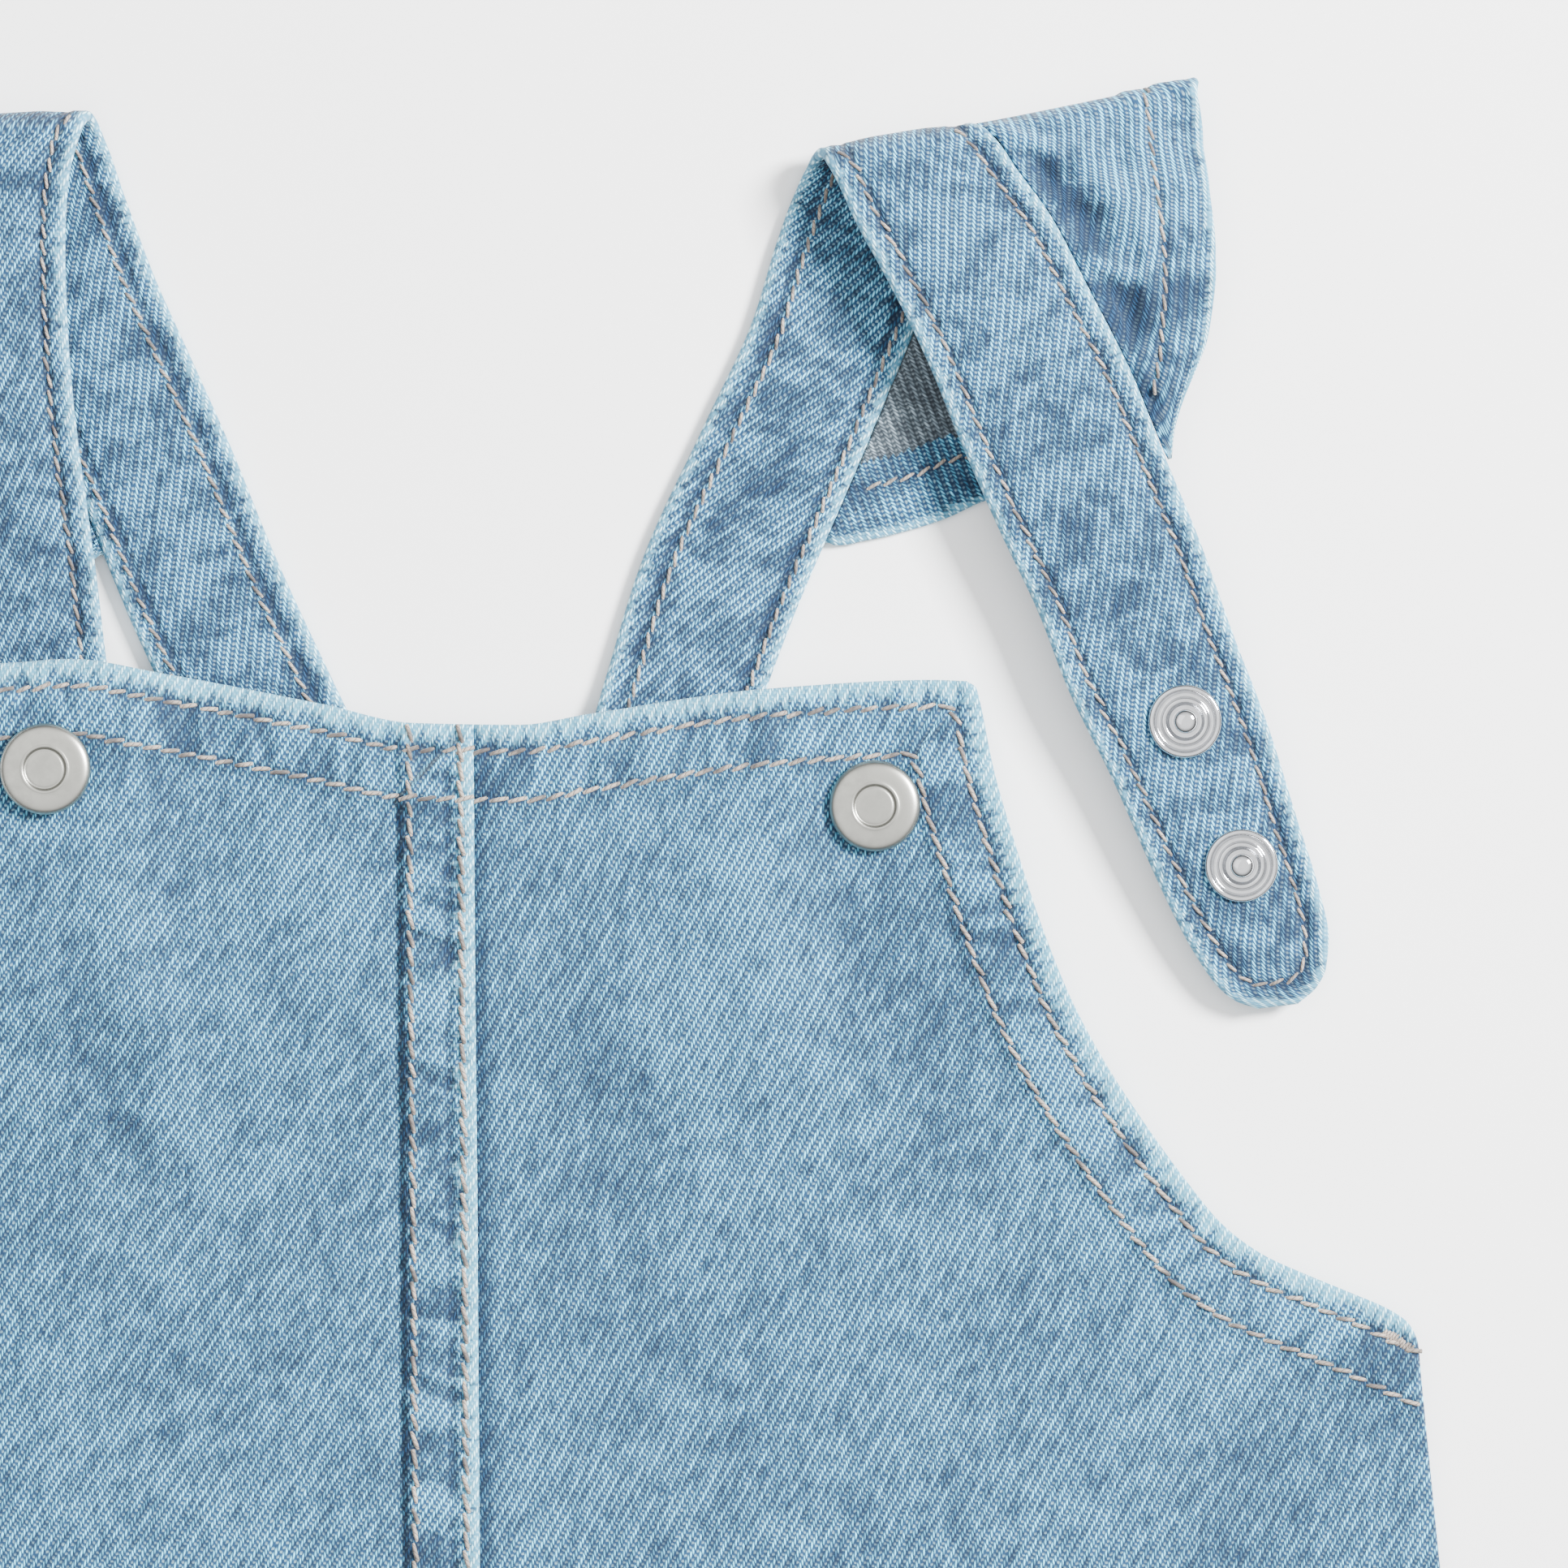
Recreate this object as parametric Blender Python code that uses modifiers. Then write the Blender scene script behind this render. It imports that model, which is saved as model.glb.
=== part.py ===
"""A toddler's dungaree dress in washed denim, laid flat on a surface with its front up.

The left strap is fastened under the bib. The right strap is open: it folds over at the
shoulder and its end lies free beside the bib. X runs to the right across the front, Y runs
from the hem to the straps and Z is up. The origin is under the middle of the laid garment.
Tables are in millimetres: x from the centre front, y up from the bib's top edge there.
"""
import math
from collections import namedtuple

import bmesh
import bpy
from mathutils import Matrix, Vector

MM = 0.001
DRESS = "dungaree_dress"

# Cloth and its layers
CLOTH = 1.2
TURNED_EDGE = 0.7
FELLED_SEAM = 0.8
STRAP_WALL = 2.0
SEAM_GAP = 0.3
BACK_EDGE_TOP = CLOTH + TURNED_EDGE
FRONT_FLOOR = BACK_EDGE_TOP + SEAM_GAP

# Widths of the turned edges and of the flat-felled seam down the front
EDGE_WIDTH = 12.5
EDGE_SLOPE = 1.5
HEM_WIDTH = 19.0
SEAM_WIDTH = 11.5
SEAM_LEAN = 0.007

# Reach of the whole garment
HEM_DROP = 410.0
TOP_REACH = 103.4
Y_MIDDLE = (TOP_REACH - HEM_DROP) / 2

# Press studs
CAP_RADIUS = 7.3
CAP_HEIGHT = 2.2
CAP_FOOT = 5.9
STUD_RADIUS = 5.9
STUD_FLANGE = 0.6
STUD_HEIGHT = 2.4
BALL_RADIUS = 1.9
SOCKET_RADIUS = 6.0
SOCKET_HEIGHT = 2.0
SOCKET_BORE = 2.3
SOCKET_DEPTH = 1.75
STUD_BACK_RADIUS = 5.0
STUD_BACK_HEIGHT = 1.0
ROUND_STEPS = 20

# Top edge of the bib, from its left corner to its right corner
EdgePoint = namedtuple("EdgePoint", "x y")
TOP_EDGE = (
    EdgePoint(-85.0, 9.6),
    EdgePoint(-70.0, 9.8),
    EdgePoint(-58.5, 10.5),
    EdgePoint(-44.0, 8.2),
    EdgePoint(-18.0, 3.2),
    EdgePoint(-4.0, 0.3),
    EdgePoint(13.0, 0.0),
    EdgePoint(24.0, 1.7),
    EdgePoint(53.0, 5.8),
    EdgePoint(79.0, 7.2),
    EdgePoint(85.0, 7.0),
)
LEFT_CORNER_RISE = 2.6

# Sections across one half of a panel: where the section meets the side, and its middle
Section = namedtuple("Section", "side_x side_y middle_y")
SKIRT = (
    Section(157.4, -104.0, -131.0),
    Section(158.7, -117.0, -143.0),
    Section(160.5, -135.0, -160.0),
    Section(166.5, -190.0, -212.0),
    Section(174.5, -260.0, -278.0),
    Section(182.5, -335.0, -347.0),
    Section(190.0, -402.0, -HEM_DROP),
)
FRONT_HALF = (
    Section(84.6, 7.0, 0.0),
    Section(86.1, 6.0, -1.8),
    Section(86.7, 4.0, -3.9),
    Section(88.9, -6.8, -14.9),
    Section(92.7, -20.0, -28.0),
    Section(96.5, -31.7, -40.0),
    Section(101.1, -43.3, -52.0),
    Section(106.1, -52.9, -63.0),
    Section(111.9, -62.0, -74.0),
    Section(119.7, -72.9, -87.0),
    Section(125.8, -80.2, -97.0),
    Section(132.0, -84.8, -104.5),
    Section(139.2, -88.1, -111.0),
    Section(146.5, -91.1, -117.0),
    Section(152.6, -93.8, -121.5),
    Section(155.6, -96.1, -124.5),
    Section(157.0, -99.4, -127.5),
) + SKIRT
BACK_HALF = (
    Section(43.0, -15.2, -15.2),
    Section(44.0, -24.0, -24.0),
    Section(48.0, -38.0, -38.0),
    Section(57.0, -53.0, -51.0),
    Section(72.0, -66.5, -64.0),
    Section(92.0, -78.0, -80.0),
    Section(115.0, -86.0, -95.0),
    Section(135.0, -90.8, -107.0),
    Section(149.0, -94.8, -118.0),
    Section(154.4, -97.2, -124.0),
    Section(156.7, -100.6, -127.8),
) + SKIRT
BACK_SHIFT = 6.0
UNDERARM_Y = -96.0

# What lies under the front and lifts it; a flat top, then a slope out to the reach
Lift = namedtuple("Lift", "x y flat_x flat_y reach_x reach_y height")
LIFTS = (
    Lift(-63.0, -22.0, 15.0, 37.0, 29.0, 52.0, 2.1),
    Lift(-62.6, -19.0, 9.0, 22.0, 22.0, 38.0, 2.8),
    Lift(7.0, -25.0, 42.0, 16.0, 62.0, 46.0, 2.4),
    Lift(69.9, -13.0, 8.0, 8.0, 22.0, 22.0, 0.6),
    Lift(0.0, -260.0, 80.0, 90.0, 150.0, 125.0, -0.6),
)

# Sections across a strap, from its root on the back, over the fold, to its free tip.
# z is the height of the strap's inner face; the outer face lies STRAP_WALL beyond it.
StrapRow = namedtuple("StrapRow", "neck_x neck_y arm_x arm_y neck_z arm_z")
STRAP_RIGHT = (
    StrapRow(14.1, -31.1, 37.9, -38.9, 4.2, 4.2),
    StrapRow(23.1, -5.1, 46.9, -12.9, 4.2, 4.2),
    StrapRow(26.9, 8.0, 50.7, 0.2, 2.4, 2.4),
    StrapRow(32.6, 26.4, 56.8, 17.0, 2.0, 2.0),
    StrapRow(42.8, 48.6, 66.0, 38.5, 2.0, 2.0),
    StrapRow(50.2, 64.5, 72.3, 53.5, 2.0, 2.0),
    StrapRow(54.3, 77.7, 78.4, 68.5, 2.0, 2.0),
    StrapRow(57.1, 85.2, 82.3, 81.5, 2.2, 2.1),
    StrapRow(59.2, 89.0, 84.7, 91.2, 3.0, 2.5),
    StrapRow(61.0, 90.4, 86.1, 94.6, 5.4, 4.6),
    StrapRow(62.6, 88.6, 88.4, 93.8, 8.0, 6.8),
    StrapRow(67.0, 79.6, 92.7, 88.3, 8.8, 7.6),
    StrapRow(72.8, 69.0, 98.0, 81.0, 8.5, 7.4),
    StrapRow(78.4, 57.6, 104.0, 69.6, 7.8, 7.0),
    StrapRow(84.4, 43.0, 111.0, 55.8, 7.2, 6.5),
    StrapRow(90.0, 30.4, 116.2, 42.8, 6.8, 6.0),
    StrapRow(95.8, 18.2, 121.8, 29.3, 6.4, 5.4),
    StrapRow(100.9, 5.2, 127.1, 14.6, 5.8, 4.7),
    StrapRow(107.8, -8.7, 132.6, 0.3, 5.0, 4.0),
    StrapRow(114.3, -23.3, 137.6, -15.5, 4.0, 3.2),
    StrapRow(119.0, -33.0, 141.0, -26.3, 3.2, 2.6),
    StrapRow(122.2, -38.4, 142.6, -34.1, 2.8, 2.3),
    StrapRow(124.9, -42.0, 142.2, -38.8, 2.5, 2.1),
    StrapRow(127.8, -44.3, 140.7, -42.0, 2.3, 2.0),
    StrapRow(131.2, -45.5, 137.6, -44.7, 2.2, 2.0),
)
STRAP_LEFT = (
    StrapRow(-0.5, -30.1, -23.5, -39.9, 4.2, 4.2),
    StrapRow(-11.4, -4.3, -34.4, -14.1, 4.2, 4.2),
    StrapRow(-17.0, 7.2, -40.6, -2.0, 2.4, 2.4),
    StrapRow(-26.1, 26.8, -49.5, 16.9, 2.0, 2.0),
    StrapRow(-33.5, 44.9, -57.0, 35.2, 2.0, 2.0),
    StrapRow(-39.4, 58.1, -62.8, 48.4, 2.0, 2.0),
    StrapRow(-45.8, 72.4, -69.2, 63.7, 2.0, 2.0),
    StrapRow(-50.3, 84.6, -74.2, 79.5, 2.2, 2.1),
    StrapRow(-53.6, 93.8, -77.8, 91.6, 3.0, 2.5),
    StrapRow(-55.2, 96.4, -79.5, 95.0, 5.4, 4.6),
    StrapRow(-56.6, 94.4, -82.5, 93.2, 8.0, 6.8),
    StrapRow(-58.8, 85.0, -86.5, 84.6, 8.6, 7.6),
    StrapRow(-59.2, 75.7, -87.2, 75.6, 8.2, 7.4),
    StrapRow(-58.9, 64.5, -86.9, 65.5, 7.6, 7.0),
    StrapRow(-58.2, 53.8, -86.0, 55.3, 7.0, 6.6),
    StrapRow(-57.2, 44.3, -84.9, 46.5, 6.2, 6.0),
    StrapRow(-55.9, 34.4, -83.4, 37.0, 5.2, 5.2),
    StrapRow(-54.4, 22.5, -81.6, 25.0, 4.0, 4.0),
    StrapRow(-53.2, 11.3, -79.8, 13.6, 2.6, 2.6),
    StrapRow(-51.2, -2.0, -76.6, -0.4, 1.6, 1.6),
    StrapRow(-50.0, -20.0, -74.8, -18.8, 1.6, 1.6),
    StrapRow(-49.9, -38.0, -73.2, -37.2, 1.6, 1.6),
    StrapRow(-51.6, -48.4, -71.2, -48.0, 2.2, 2.2),
    StrapRow(-55.0, -54.4, -67.6, -54.2, 2.3, 2.3),
    StrapRow(-58.6, -56.8, -63.8, -56.8, 2.3, 2.3),
)
STRAP_STEPS = 60
STRAP_LANES = 5

# The shoulder frill: where its seam is on the strap, as a row number of the strap's table,
# and how far its hem reaches from there, away from the neck and up; z is its inner face.
FrillRow = namedtuple("FrillRow", "strap_row away up z")
FRILL = (
    FrillRow(3.56, 0.6, -0.3, 1.2),
    FrillRow(3.75, 0.8, -4.4, 1.2),
    FrillRow(3.98, 1.9, -8.7, 1.2),
    FrillRow(4.39, 6.0, -13.4, 1.2),
    FrillRow(4.92, 12.6, -17.8, 1.2),
    FrillRow(5.53, 25.2, -19.4, 1.2),
    FrillRow(6.40, 32.5, -15.6, 1.2),
    FrillRow(7.40, 35.1, -6.0, 1.2),
    FrillRow(8.30, 35.4, 4.5, 1.3),
    FrillRow(9.00, 35.6, 7.9, 2.3),
    FrillRow(9.80, 33.6, 7.4, 3.3),
    FrillRow(10.50, 31.6, 4.6, 3.8),
    FrillRow(11.20, 28.8, 4.2, 4.4),
    FrillRow(12.14, 24.7, 4.2, 4.8),
    FrillRow(13.00, 20.3, 4.9, 5.0),
    FrillRow(13.65, 15.1, 5.3, 5.2),
    FrillRow(14.40, 7.8, 5.6, 5.6),
    FrillRow(14.88, 2.0, 2.6, 5.9),
    FrillRow(15.04, 0.7, 0.3, 6.0),
)
FRILL_STEPS = 44
FRILL_LANES = (0.0, 0.12, 0.28, 0.46, 0.64, 0.78, 0.9, 1.0)

# Gathers in the frill: ridges that rise at the strap and fade towards the hem
Gather = namedtuple("Gather", "strap_row spread height")
GATHERS = (
    Gather(4.9, 0.34, 0.9),
    Gather(5.9, 0.34, 1.2),
    Gather(7.0, 0.36, 1.0),
    Gather(10.9, 0.30, 0.9),
    Gather(11.7, 0.28, 1.4),
    Gather(12.5, 0.28, 1.0),
    Gather(13.3, 0.28, 1.3),
    Gather(14.0, 0.26, 0.8),
)

# Where the press studs sit: on the bib, and on the straps by row number
Snap = namedtuple("Snap", "x y")
SNAP_LEFT = Snap(-62.4, -7.1)
SNAP_RIGHT = Snap(69.9, -13.0)
STUD_SPACING = 24.8
STUD_RIGHT_UPPER = Snap(119.3, 0.6)
STUD_RIGHT_LOWER = Snap(128.4, -22.4)
STUD_LEFT_LOWER = Snap(-62.0, SNAP_LEFT.y - STUD_SPACING)

Finish = namedtuple("Finish", "name color roughness metallic")
DENIM = Finish("washed_denim", (0.29, 0.46, 0.56, 1.0), 0.9, 0.0)
DENIM_STRAP = Finish("washed_denim_strap", (0.25, 0.42, 0.54, 1.0), 0.9, 0.0)
SATIN_NICKEL = Finish("satin_nickel", (0.52, 0.52, 0.49, 1.0), 0.38, 1.0)
BRIGHT_STEEL = Finish("bright_steel", (0.75, 0.76, 0.78, 1.0), 0.15, 1.0)


def clear_scene():
    for obj in list(bpy.data.objects):
        bpy.data.objects.remove(obj, do_unlink=True)


def material(finish):
    found = bpy.data.materials.get(finish.name)
    if found:
        return found
    made = bpy.data.materials.new(finish.name)
    made.use_nodes = True
    shader = made.node_tree.nodes["Principled BSDF"]
    shader.inputs["Base Color"].default_value = finish.color
    shader.inputs["Roughness"].default_value = finish.roughness
    shader.inputs["Metallic"].default_value = finish.metallic
    made.diffuse_color = finish.color
    return made


def world(x, y, z):
    """A point of the tables, in metres, with the origin under the garment's middle."""
    return Vector((x, y - Y_MIDDLE, z)) * MM


def smooth(value):
    value = min(max(value, 0.0), 1.0)
    return value * value * (3.0 - 2.0 * value)


def slopes(places, values):
    """Slopes of a curve through the values that never swings past them."""
    steps = [b - a for a, b in zip(places, places[1:])]
    rises = [(b - a) / step for a, b, step in zip(values, values[1:], steps)]
    result = [rises[0]]
    for before, after in zip(rises, rises[1:]):
        level = before * after <= 0.0
        result.append(0.0 if level else 2.0 * before * after / (before + after))
    result.append(rises[-1])
    return result


class Table:
    """A table of rows read as smooth curves, one for each column."""

    def __init__(self, rows, places):
        self.places = places
        self.columns = [[float(row[k]) for row in rows] for k in range(len(rows[0]))]
        self.slopes = [slopes(places, column) for column in self.columns]

    def at(self, place):
        place = min(max(place, self.places[0]), self.places[-1])
        index = 0
        while index < len(self.places) - 2 and place > self.places[index + 1]:
            index += 1
        step = self.places[index + 1] - self.places[index]
        t = (place - self.places[index]) / step
        result = []
        for column, slope in zip(self.columns, self.slopes):
            start, end = column[index], column[index + 1]
            value = start * (1 + 2 * t) * (1 - t) ** 2 + end * t * t * (3 - 2 * t)
            value += step * (slope[index] * t * (1 - t) ** 2 - slope[index + 1] * t * t * (1 - t))
            result.append(value)
        return result


def run_lengths(points):
    """How far along the points each of them is."""
    total = [0.0]
    for a, b in zip(points, points[1:]):
        total.append(total[-1] + (Vector(b) - Vector(a)).length)
    return total


def spaced(start, end, count, dense):
    """Places from start to end, closer together round some, given as (place, reach)."""
    fine = 300
    weights = [0.0]
    for k in range(fine):
        place = start + (end - start) * (k + 0.5) / fine
        extra = sum(math.exp(-((place - middle) / reach) ** 2) for middle, reach in dense)
        weights.append(weights[-1] + 1.0 + 3.5 * extra)
    result = []
    for step in range(count + 1):
        goal = weights[-1] * step / count
        k = next(i for i in range(fine + 1) if weights[i] >= goal - 1e-9)
        lower = max(k - 1, 0)
        part = 0.0 if k == 0 else (goal - weights[lower]) / (weights[k] - weights[lower])
        result.append(start + (end - start) * (lower + part) / fine)
    return result


def link(obj, finish):
    bpy.data.collections[DRESS].objects.link(obj)
    obj.data.materials.append(material(finish))
    return obj


def cloth_wall(name, steps, lanes, place, wall, finish, thickest):
    """A cloth wall on a grid: place gives the inner face, wall its thickness, in millimetres."""
    mesh = bpy.data.meshes.new(name)
    sheet = bmesh.new()
    bmesh.ops.create_grid(sheet, x_segments=lanes, y_segments=steps, size=1.0)
    grid = {}
    for vert in sheet.verts:
        lane = round((vert.co.x + 1.0) / 2.0 * lanes)
        step = round((vert.co.y + 1.0) / 2.0 * steps)
        grid[vert.index] = wall(step, lane) / thickest
        vert.co = world(*place(step, lane))
    sheet.to_mesh(mesh)
    sheet.free()
    obj = link(bpy.data.objects.new(name, mesh), finish)
    group = obj.vertex_groups.new(name="wall")
    for index, weight in grid.items():
        group.add([index], weight, "REPLACE")
    solid = obj.modifiers.new("wall", "SOLIDIFY")
    solid.thickness = thickest * MM
    solid.offset = 1.0
    solid.vertex_group = group.name
    return obj


def turned_edge(distance, width=EDGE_WIDTH):
    """How much of a turned edge's extra thickness there is at a distance from the edge."""
    return 1.0 - smooth((distance - width) / EDGE_SLOPE)


def lift_share(distance, flat, reach):
    return 1.0 - smooth((abs(distance) - flat) / (reach - flat))


def front_floor(x, y):
    """Height of the front's inner face over what lies under it."""
    height = FRONT_FLOOR
    for lift in LIFTS:
        across = lift_share(x - lift.x, lift.flat_x, lift.reach_x)
        along = lift_share(y - lift.y, lift.flat_y, lift.reach_y)
        height += lift.height * across * along
    return height


class PanelHalf:
    """Sections from a panel's middle to one side, from the top edge to the hem."""

    ROW_BEND = 1.5
    TOP_REACH_DOWN = 60.0

    def __init__(self, rows, hand, top_edge=None, corner_rise=0.0):
        arc = run_lengths([(row.side_x, row.side_y) for row in rows])
        self.table = Table(rows, arc)
        self.length = arc[-1]
        self.underarm = arc[len(rows) - len(SKIRT) - 1]
        self.hand = hand
        self.corner_rise = corner_rise
        self.top_edge = top_edge

    def top_fade(self, down):
        return 1.0 - smooth(down / self.TOP_REACH_DOWN)

    def side(self, down):
        x, y, middle = self.table.at(down)
        return x * self.hand, y + self.corner_rise * self.top_fade(down), middle

    def slant(self, down):
        """Share of a step across the panel that leads straight away from its side."""
        here, there = self.table.at(down - 0.5), self.table.at(down + 0.5)
        edge = Vector((there[0] - here[0], there[1] - here[1])).normalized()
        x, y, middle = self.table.at(down)
        across = Vector((x, self.ROW_BEND * (y - middle))).normalized()
        return max(abs(edge.x * across.y - edge.y * across.x), 0.3)

    def point(self, down, x):
        side_x, side_y, middle = self.side(down)
        share = abs(x / side_x) ** self.ROW_BEND
        y = middle + (side_y - middle) * share
        if self.top_edge is None:
            return x, y
        corner_y = self.side(0.0)[1]
        bulge = self.top_edge.at(x)[0] - corner_y * share
        return x, y + bulge * self.top_fade(down)


EDGE_STEPS = (0.0, 1.2, 6.0, EDGE_WIDTH, EDGE_WIDTH + EDGE_SLOPE)
HEM_STEPS = (HEM_WIDTH + EDGE_SLOPE, HEM_WIDTH, 9.0, 0.0)
BODY_ROWS = 34
UNDERARM_REACH = 14.0


def panel_rows(half):
    """Distances down the side of a panel at which it has a row of points."""
    first, last = EDGE_STEPS[-1], half.length - HEM_STEPS[0]
    between = spaced(first, last, BODY_ROWS, [(half.underarm, UNDERARM_REACH)])
    return list(EDGE_STEPS) + between[1:-1] + [half.length - step for step in HEM_STEPS]


def top_edge_table():
    return Table([(point.y,) for point in TOP_EDGE], [point.x for point in TOP_EDGE])


def seam_x(y):
    """The flat-felled seam leans a little to the right on its way down."""
    return SEAM_LEAN * -y


def panel_wall(half, down, from_side):
    """Thickness of a panel with its turned edges, in millimetres."""
    side_y = half.side(down)[1]
    armhole = smooth((side_y - UNDERARM_Y + 6.0) / 8.0)
    share = max(
        turned_edge(down),
        turned_edge(from_side) * armhole,
        turned_edge(half.length - down, HEM_WIDTH),
    )
    return CLOTH + TURNED_EDGE * share


FRONT_LANES = 8


def make_front(name, hand):
    """One half of the front. The left half carries the felled seam over the right one."""
    rise = LEFT_CORNER_RISE if hand < 0 else 0.0
    half = PanelHalf(FRONT_HALF, hand, top_edge_table(), rise)
    downs = panel_rows(half)
    over = SEAM_WIDTH / 2
    if hand < 0:
        seam_lanes = (over, -over + 0.9, -over)
    else:
        seam_lanes = (over + SEAM_GAP,)

    def lane_x(down):
        middle = half.table.at(down)[2]
        side_x = half.side(down)[0]
        slant = half.slant(down)
        near = [seam_x(middle) + x for x in seam_lanes]
        far = [side_x - hand * step / slant for step in reversed(EDGE_STEPS)]
        between = [near[-1] + (far[0] - near[-1]) * k / FRONT_LANES for k in range(1, FRONT_LANES)]
        return near + between + far

    def ordered(step, lane):
        """Rows run up the panel, and lanes run to the right on both halves."""
        down = downs[len(downs) - 1 - step]
        places = lane_x(down)
        index = lane if hand > 0 else len(places) - 1 - lane
        return down, places, index

    def place(step, lane):
        down, places, index = ordered(step, lane)
        x, y = half.point(down, places[index])
        return x, y, front_floor(x, y)

    def wall(step, lane):
        down, places, index = ordered(step, lane)
        from_side = abs(half.side(down)[0] - places[index]) * half.slant(down)
        thick = panel_wall(half, down, from_side)
        if hand < 0 and index < 2:
            thick = CLOTH + FELLED_SEAM + (thick - CLOTH) / 2
        return thick

    lanes = len(lane_x(downs[0])) - 1
    thickest = CLOTH + TURNED_EDGE + FELLED_SEAM
    return cloth_wall(name, len(downs) - 1, lanes, place, wall, DENIM, thickest)


BACK_LANES = 12


def make_back():
    """The back is one piece, with a narrow bib that the straps are sewn to."""
    half = PanelHalf(BACK_HALF, 1.0)
    downs = panel_rows(half)

    def lane_x(down):
        side_x = half.side(down)[0]
        slant = half.slant(down)
        far = [side_x - step / slant for step in reversed(EDGE_STEPS)]
        right = [far[0] * k / (BACK_LANES / 2) for k in range(int(BACK_LANES / 2))] + far
        return [-x for x in reversed(right[1:])] + right

    def place(step, lane):
        down = downs[len(downs) - 1 - step]
        x, y = half.point(down, lane_x(down)[lane])
        shift = BACK_SHIFT * (1.0 - smooth(down / 110.0))
        return x + shift, y, 0.0

    def wall(step, lane):
        down = downs[len(downs) - 1 - step]
        from_side = (half.side(down)[0] - abs(lane_x(down)[lane])) * half.slant(down)
        share = max(
            turned_edge(down),
            turned_edge(from_side),
            turned_edge(half.length - down, HEM_WIDTH),
        )
        return CLOTH + TURNED_EDGE * share

    lanes = len(lane_x(downs[0])) - 1
    return cloth_wall("back", len(downs) - 1, lanes, place, wall, DENIM, BACK_EDGE_TOP)


class Strap:
    """A strap's inner face, read by length along it and across it from neck edge to arm edge."""

    def __init__(self, rows, hand):
        self.hand = hand
        middles = [
            ((r.neck_x + r.arm_x) / 2, (r.neck_y + r.arm_y) / 2, (r.neck_z + r.arm_z) / 2)
            for r in rows
        ]
        self.lengths = run_lengths(middles)
        self.table = Table(rows, self.lengths)

    def along(self, row):
        """Length along the strap at a row number of its table."""
        index = min(int(row), len(self.lengths) - 2)
        return self.lengths[index] + (self.lengths[index + 1] - self.lengths[index]) * (row - index)

    def point(self, length, across):
        neck_x, neck_y, arm_x, arm_y, neck_z, arm_z = self.table.at(length)
        neck = Vector((neck_x, neck_y, neck_z))
        arm = Vector((arm_x, arm_y, arm_z))
        return neck.lerp(arm, across)

    def outward(self, length, across):
        """Direction from the inner face to the outer one, up on the front half."""
        along = self.point(length + 0.4, across) - self.point(length - 0.4, across)
        sideways = self.point(length, 1.0) - self.point(length, 0.0)
        return sideways.cross(along).normalized() * -self.hand

    def nearest(self, snap):
        """Length along the strap's front half at which a stud sits."""
        first = self.along(12.0)
        best = min(
            (k * 0.25 for k in range(int(first * 4), int(self.lengths[-1] * 4))),
            key=lambda s: (self.point(s, 0.5).xy - Vector((snap.x, snap.y))).length,
        )
        return best


FOLD_ROW = 9.0
FOLD_REACH = 9.0
TIP_REACH = 9.0


def make_strap(name, strap):
    fold = strap.along(FOLD_ROW)
    tip = strap.lengths[-1]
    lengths = spaced(0.0, tip, STRAP_STEPS, [(fold, FOLD_REACH), (tip, TIP_REACH)])

    def place(step, lane):
        across = lane / STRAP_LANES
        if strap.hand > 0:
            across = 1.0 - across
        return strap.point(lengths[step], across)

    def wall(step, lane):
        return STRAP_WALL

    return cloth_wall(name, STRAP_STEPS, STRAP_LANES, place, wall, DENIM_STRAP, STRAP_WALL)


def gather_height(row, across):
    total = 0.0
    for gather in GATHERS:
        total += gather.height * math.exp(-((row - gather.strap_row) / gather.spread) ** 2)
    return total * (1.0 - across) * smooth(across / 0.16)


def make_frill(name, strap):
    """The frill is sewn along the strap's arm edge and folds over with it."""
    table = Table(FRILL, [row.strap_row for row in FRILL])
    first, last = FRILL[0].strap_row, FRILL[-1].strap_row
    rows = spaced(first, last, FRILL_STEPS, [(FOLD_ROW, 0.9)])

    def ends(row):
        length = strap.along(row)
        away, up, z = table.at(row)[1:]
        edge = strap.point(length, 1.0)
        outward = strap.outward(length, 1.0)
        sideways = (edge - strap.point(length, 0.0)).normalized()
        seam = edge + sideways * SEAM_GAP + outward * (STRAP_WALL - CLOTH)
        hem = Vector((edge.x + strap.hand * away, edge.y + up, z))
        return seam, hem, outward

    def place(step, lane):
        index = len(FRILL_LANES) - 1 - lane if strap.hand > 0 else lane
        across = FRILL_LANES[index]
        row = rows[step]
        seam, hem, outward = ends(row)
        point = seam.lerp(hem, across)
        lift = gather_height(row, across) * smooth((hem - seam).length / 14.0)
        return point + Vector((0.0, 0.0, lift))

    def wall(step, lane):
        return CLOTH

    lanes = len(FRILL_LANES) - 1
    return cloth_wall(name, FRILL_STEPS, lanes, place, wall, DENIM_STRAP, CLOTH)


def turned(name, profile, finish, matrix):
    """A turned piece: profile is (radius, height) in millimetres from its top to its bottom."""
    mesh = bpy.data.meshes.new(name)
    line = bmesh.new()
    verts = [line.verts.new((radius * MM, 0.0, height * MM)) for radius, height in profile]
    for a, b in zip(verts, verts[1:]):
        line.edges.new((a, b))
    line.to_mesh(mesh)
    line.free()
    obj = link(bpy.data.objects.new(name, mesh), finish)
    screw = obj.modifiers.new("turn", "SCREW")
    screw.axis = "Z"
    screw.steps = ROUND_STEPS
    screw.render_steps = ROUND_STEPS
    screw.use_merge_vertices = True
    screw.merge_threshold = 0.00001
    screw.use_smooth_shade = True
    obj.matrix_world = matrix
    return obj


def standing(point, direction):
    """A place for a turned piece whose foot is at the point, with its axis along a direction."""
    turn = Vector((0.0, 0.0, 1.0)).rotation_difference(direction).to_matrix().to_4x4()
    return Matrix.Translation(world(*point)) @ turn


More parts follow.
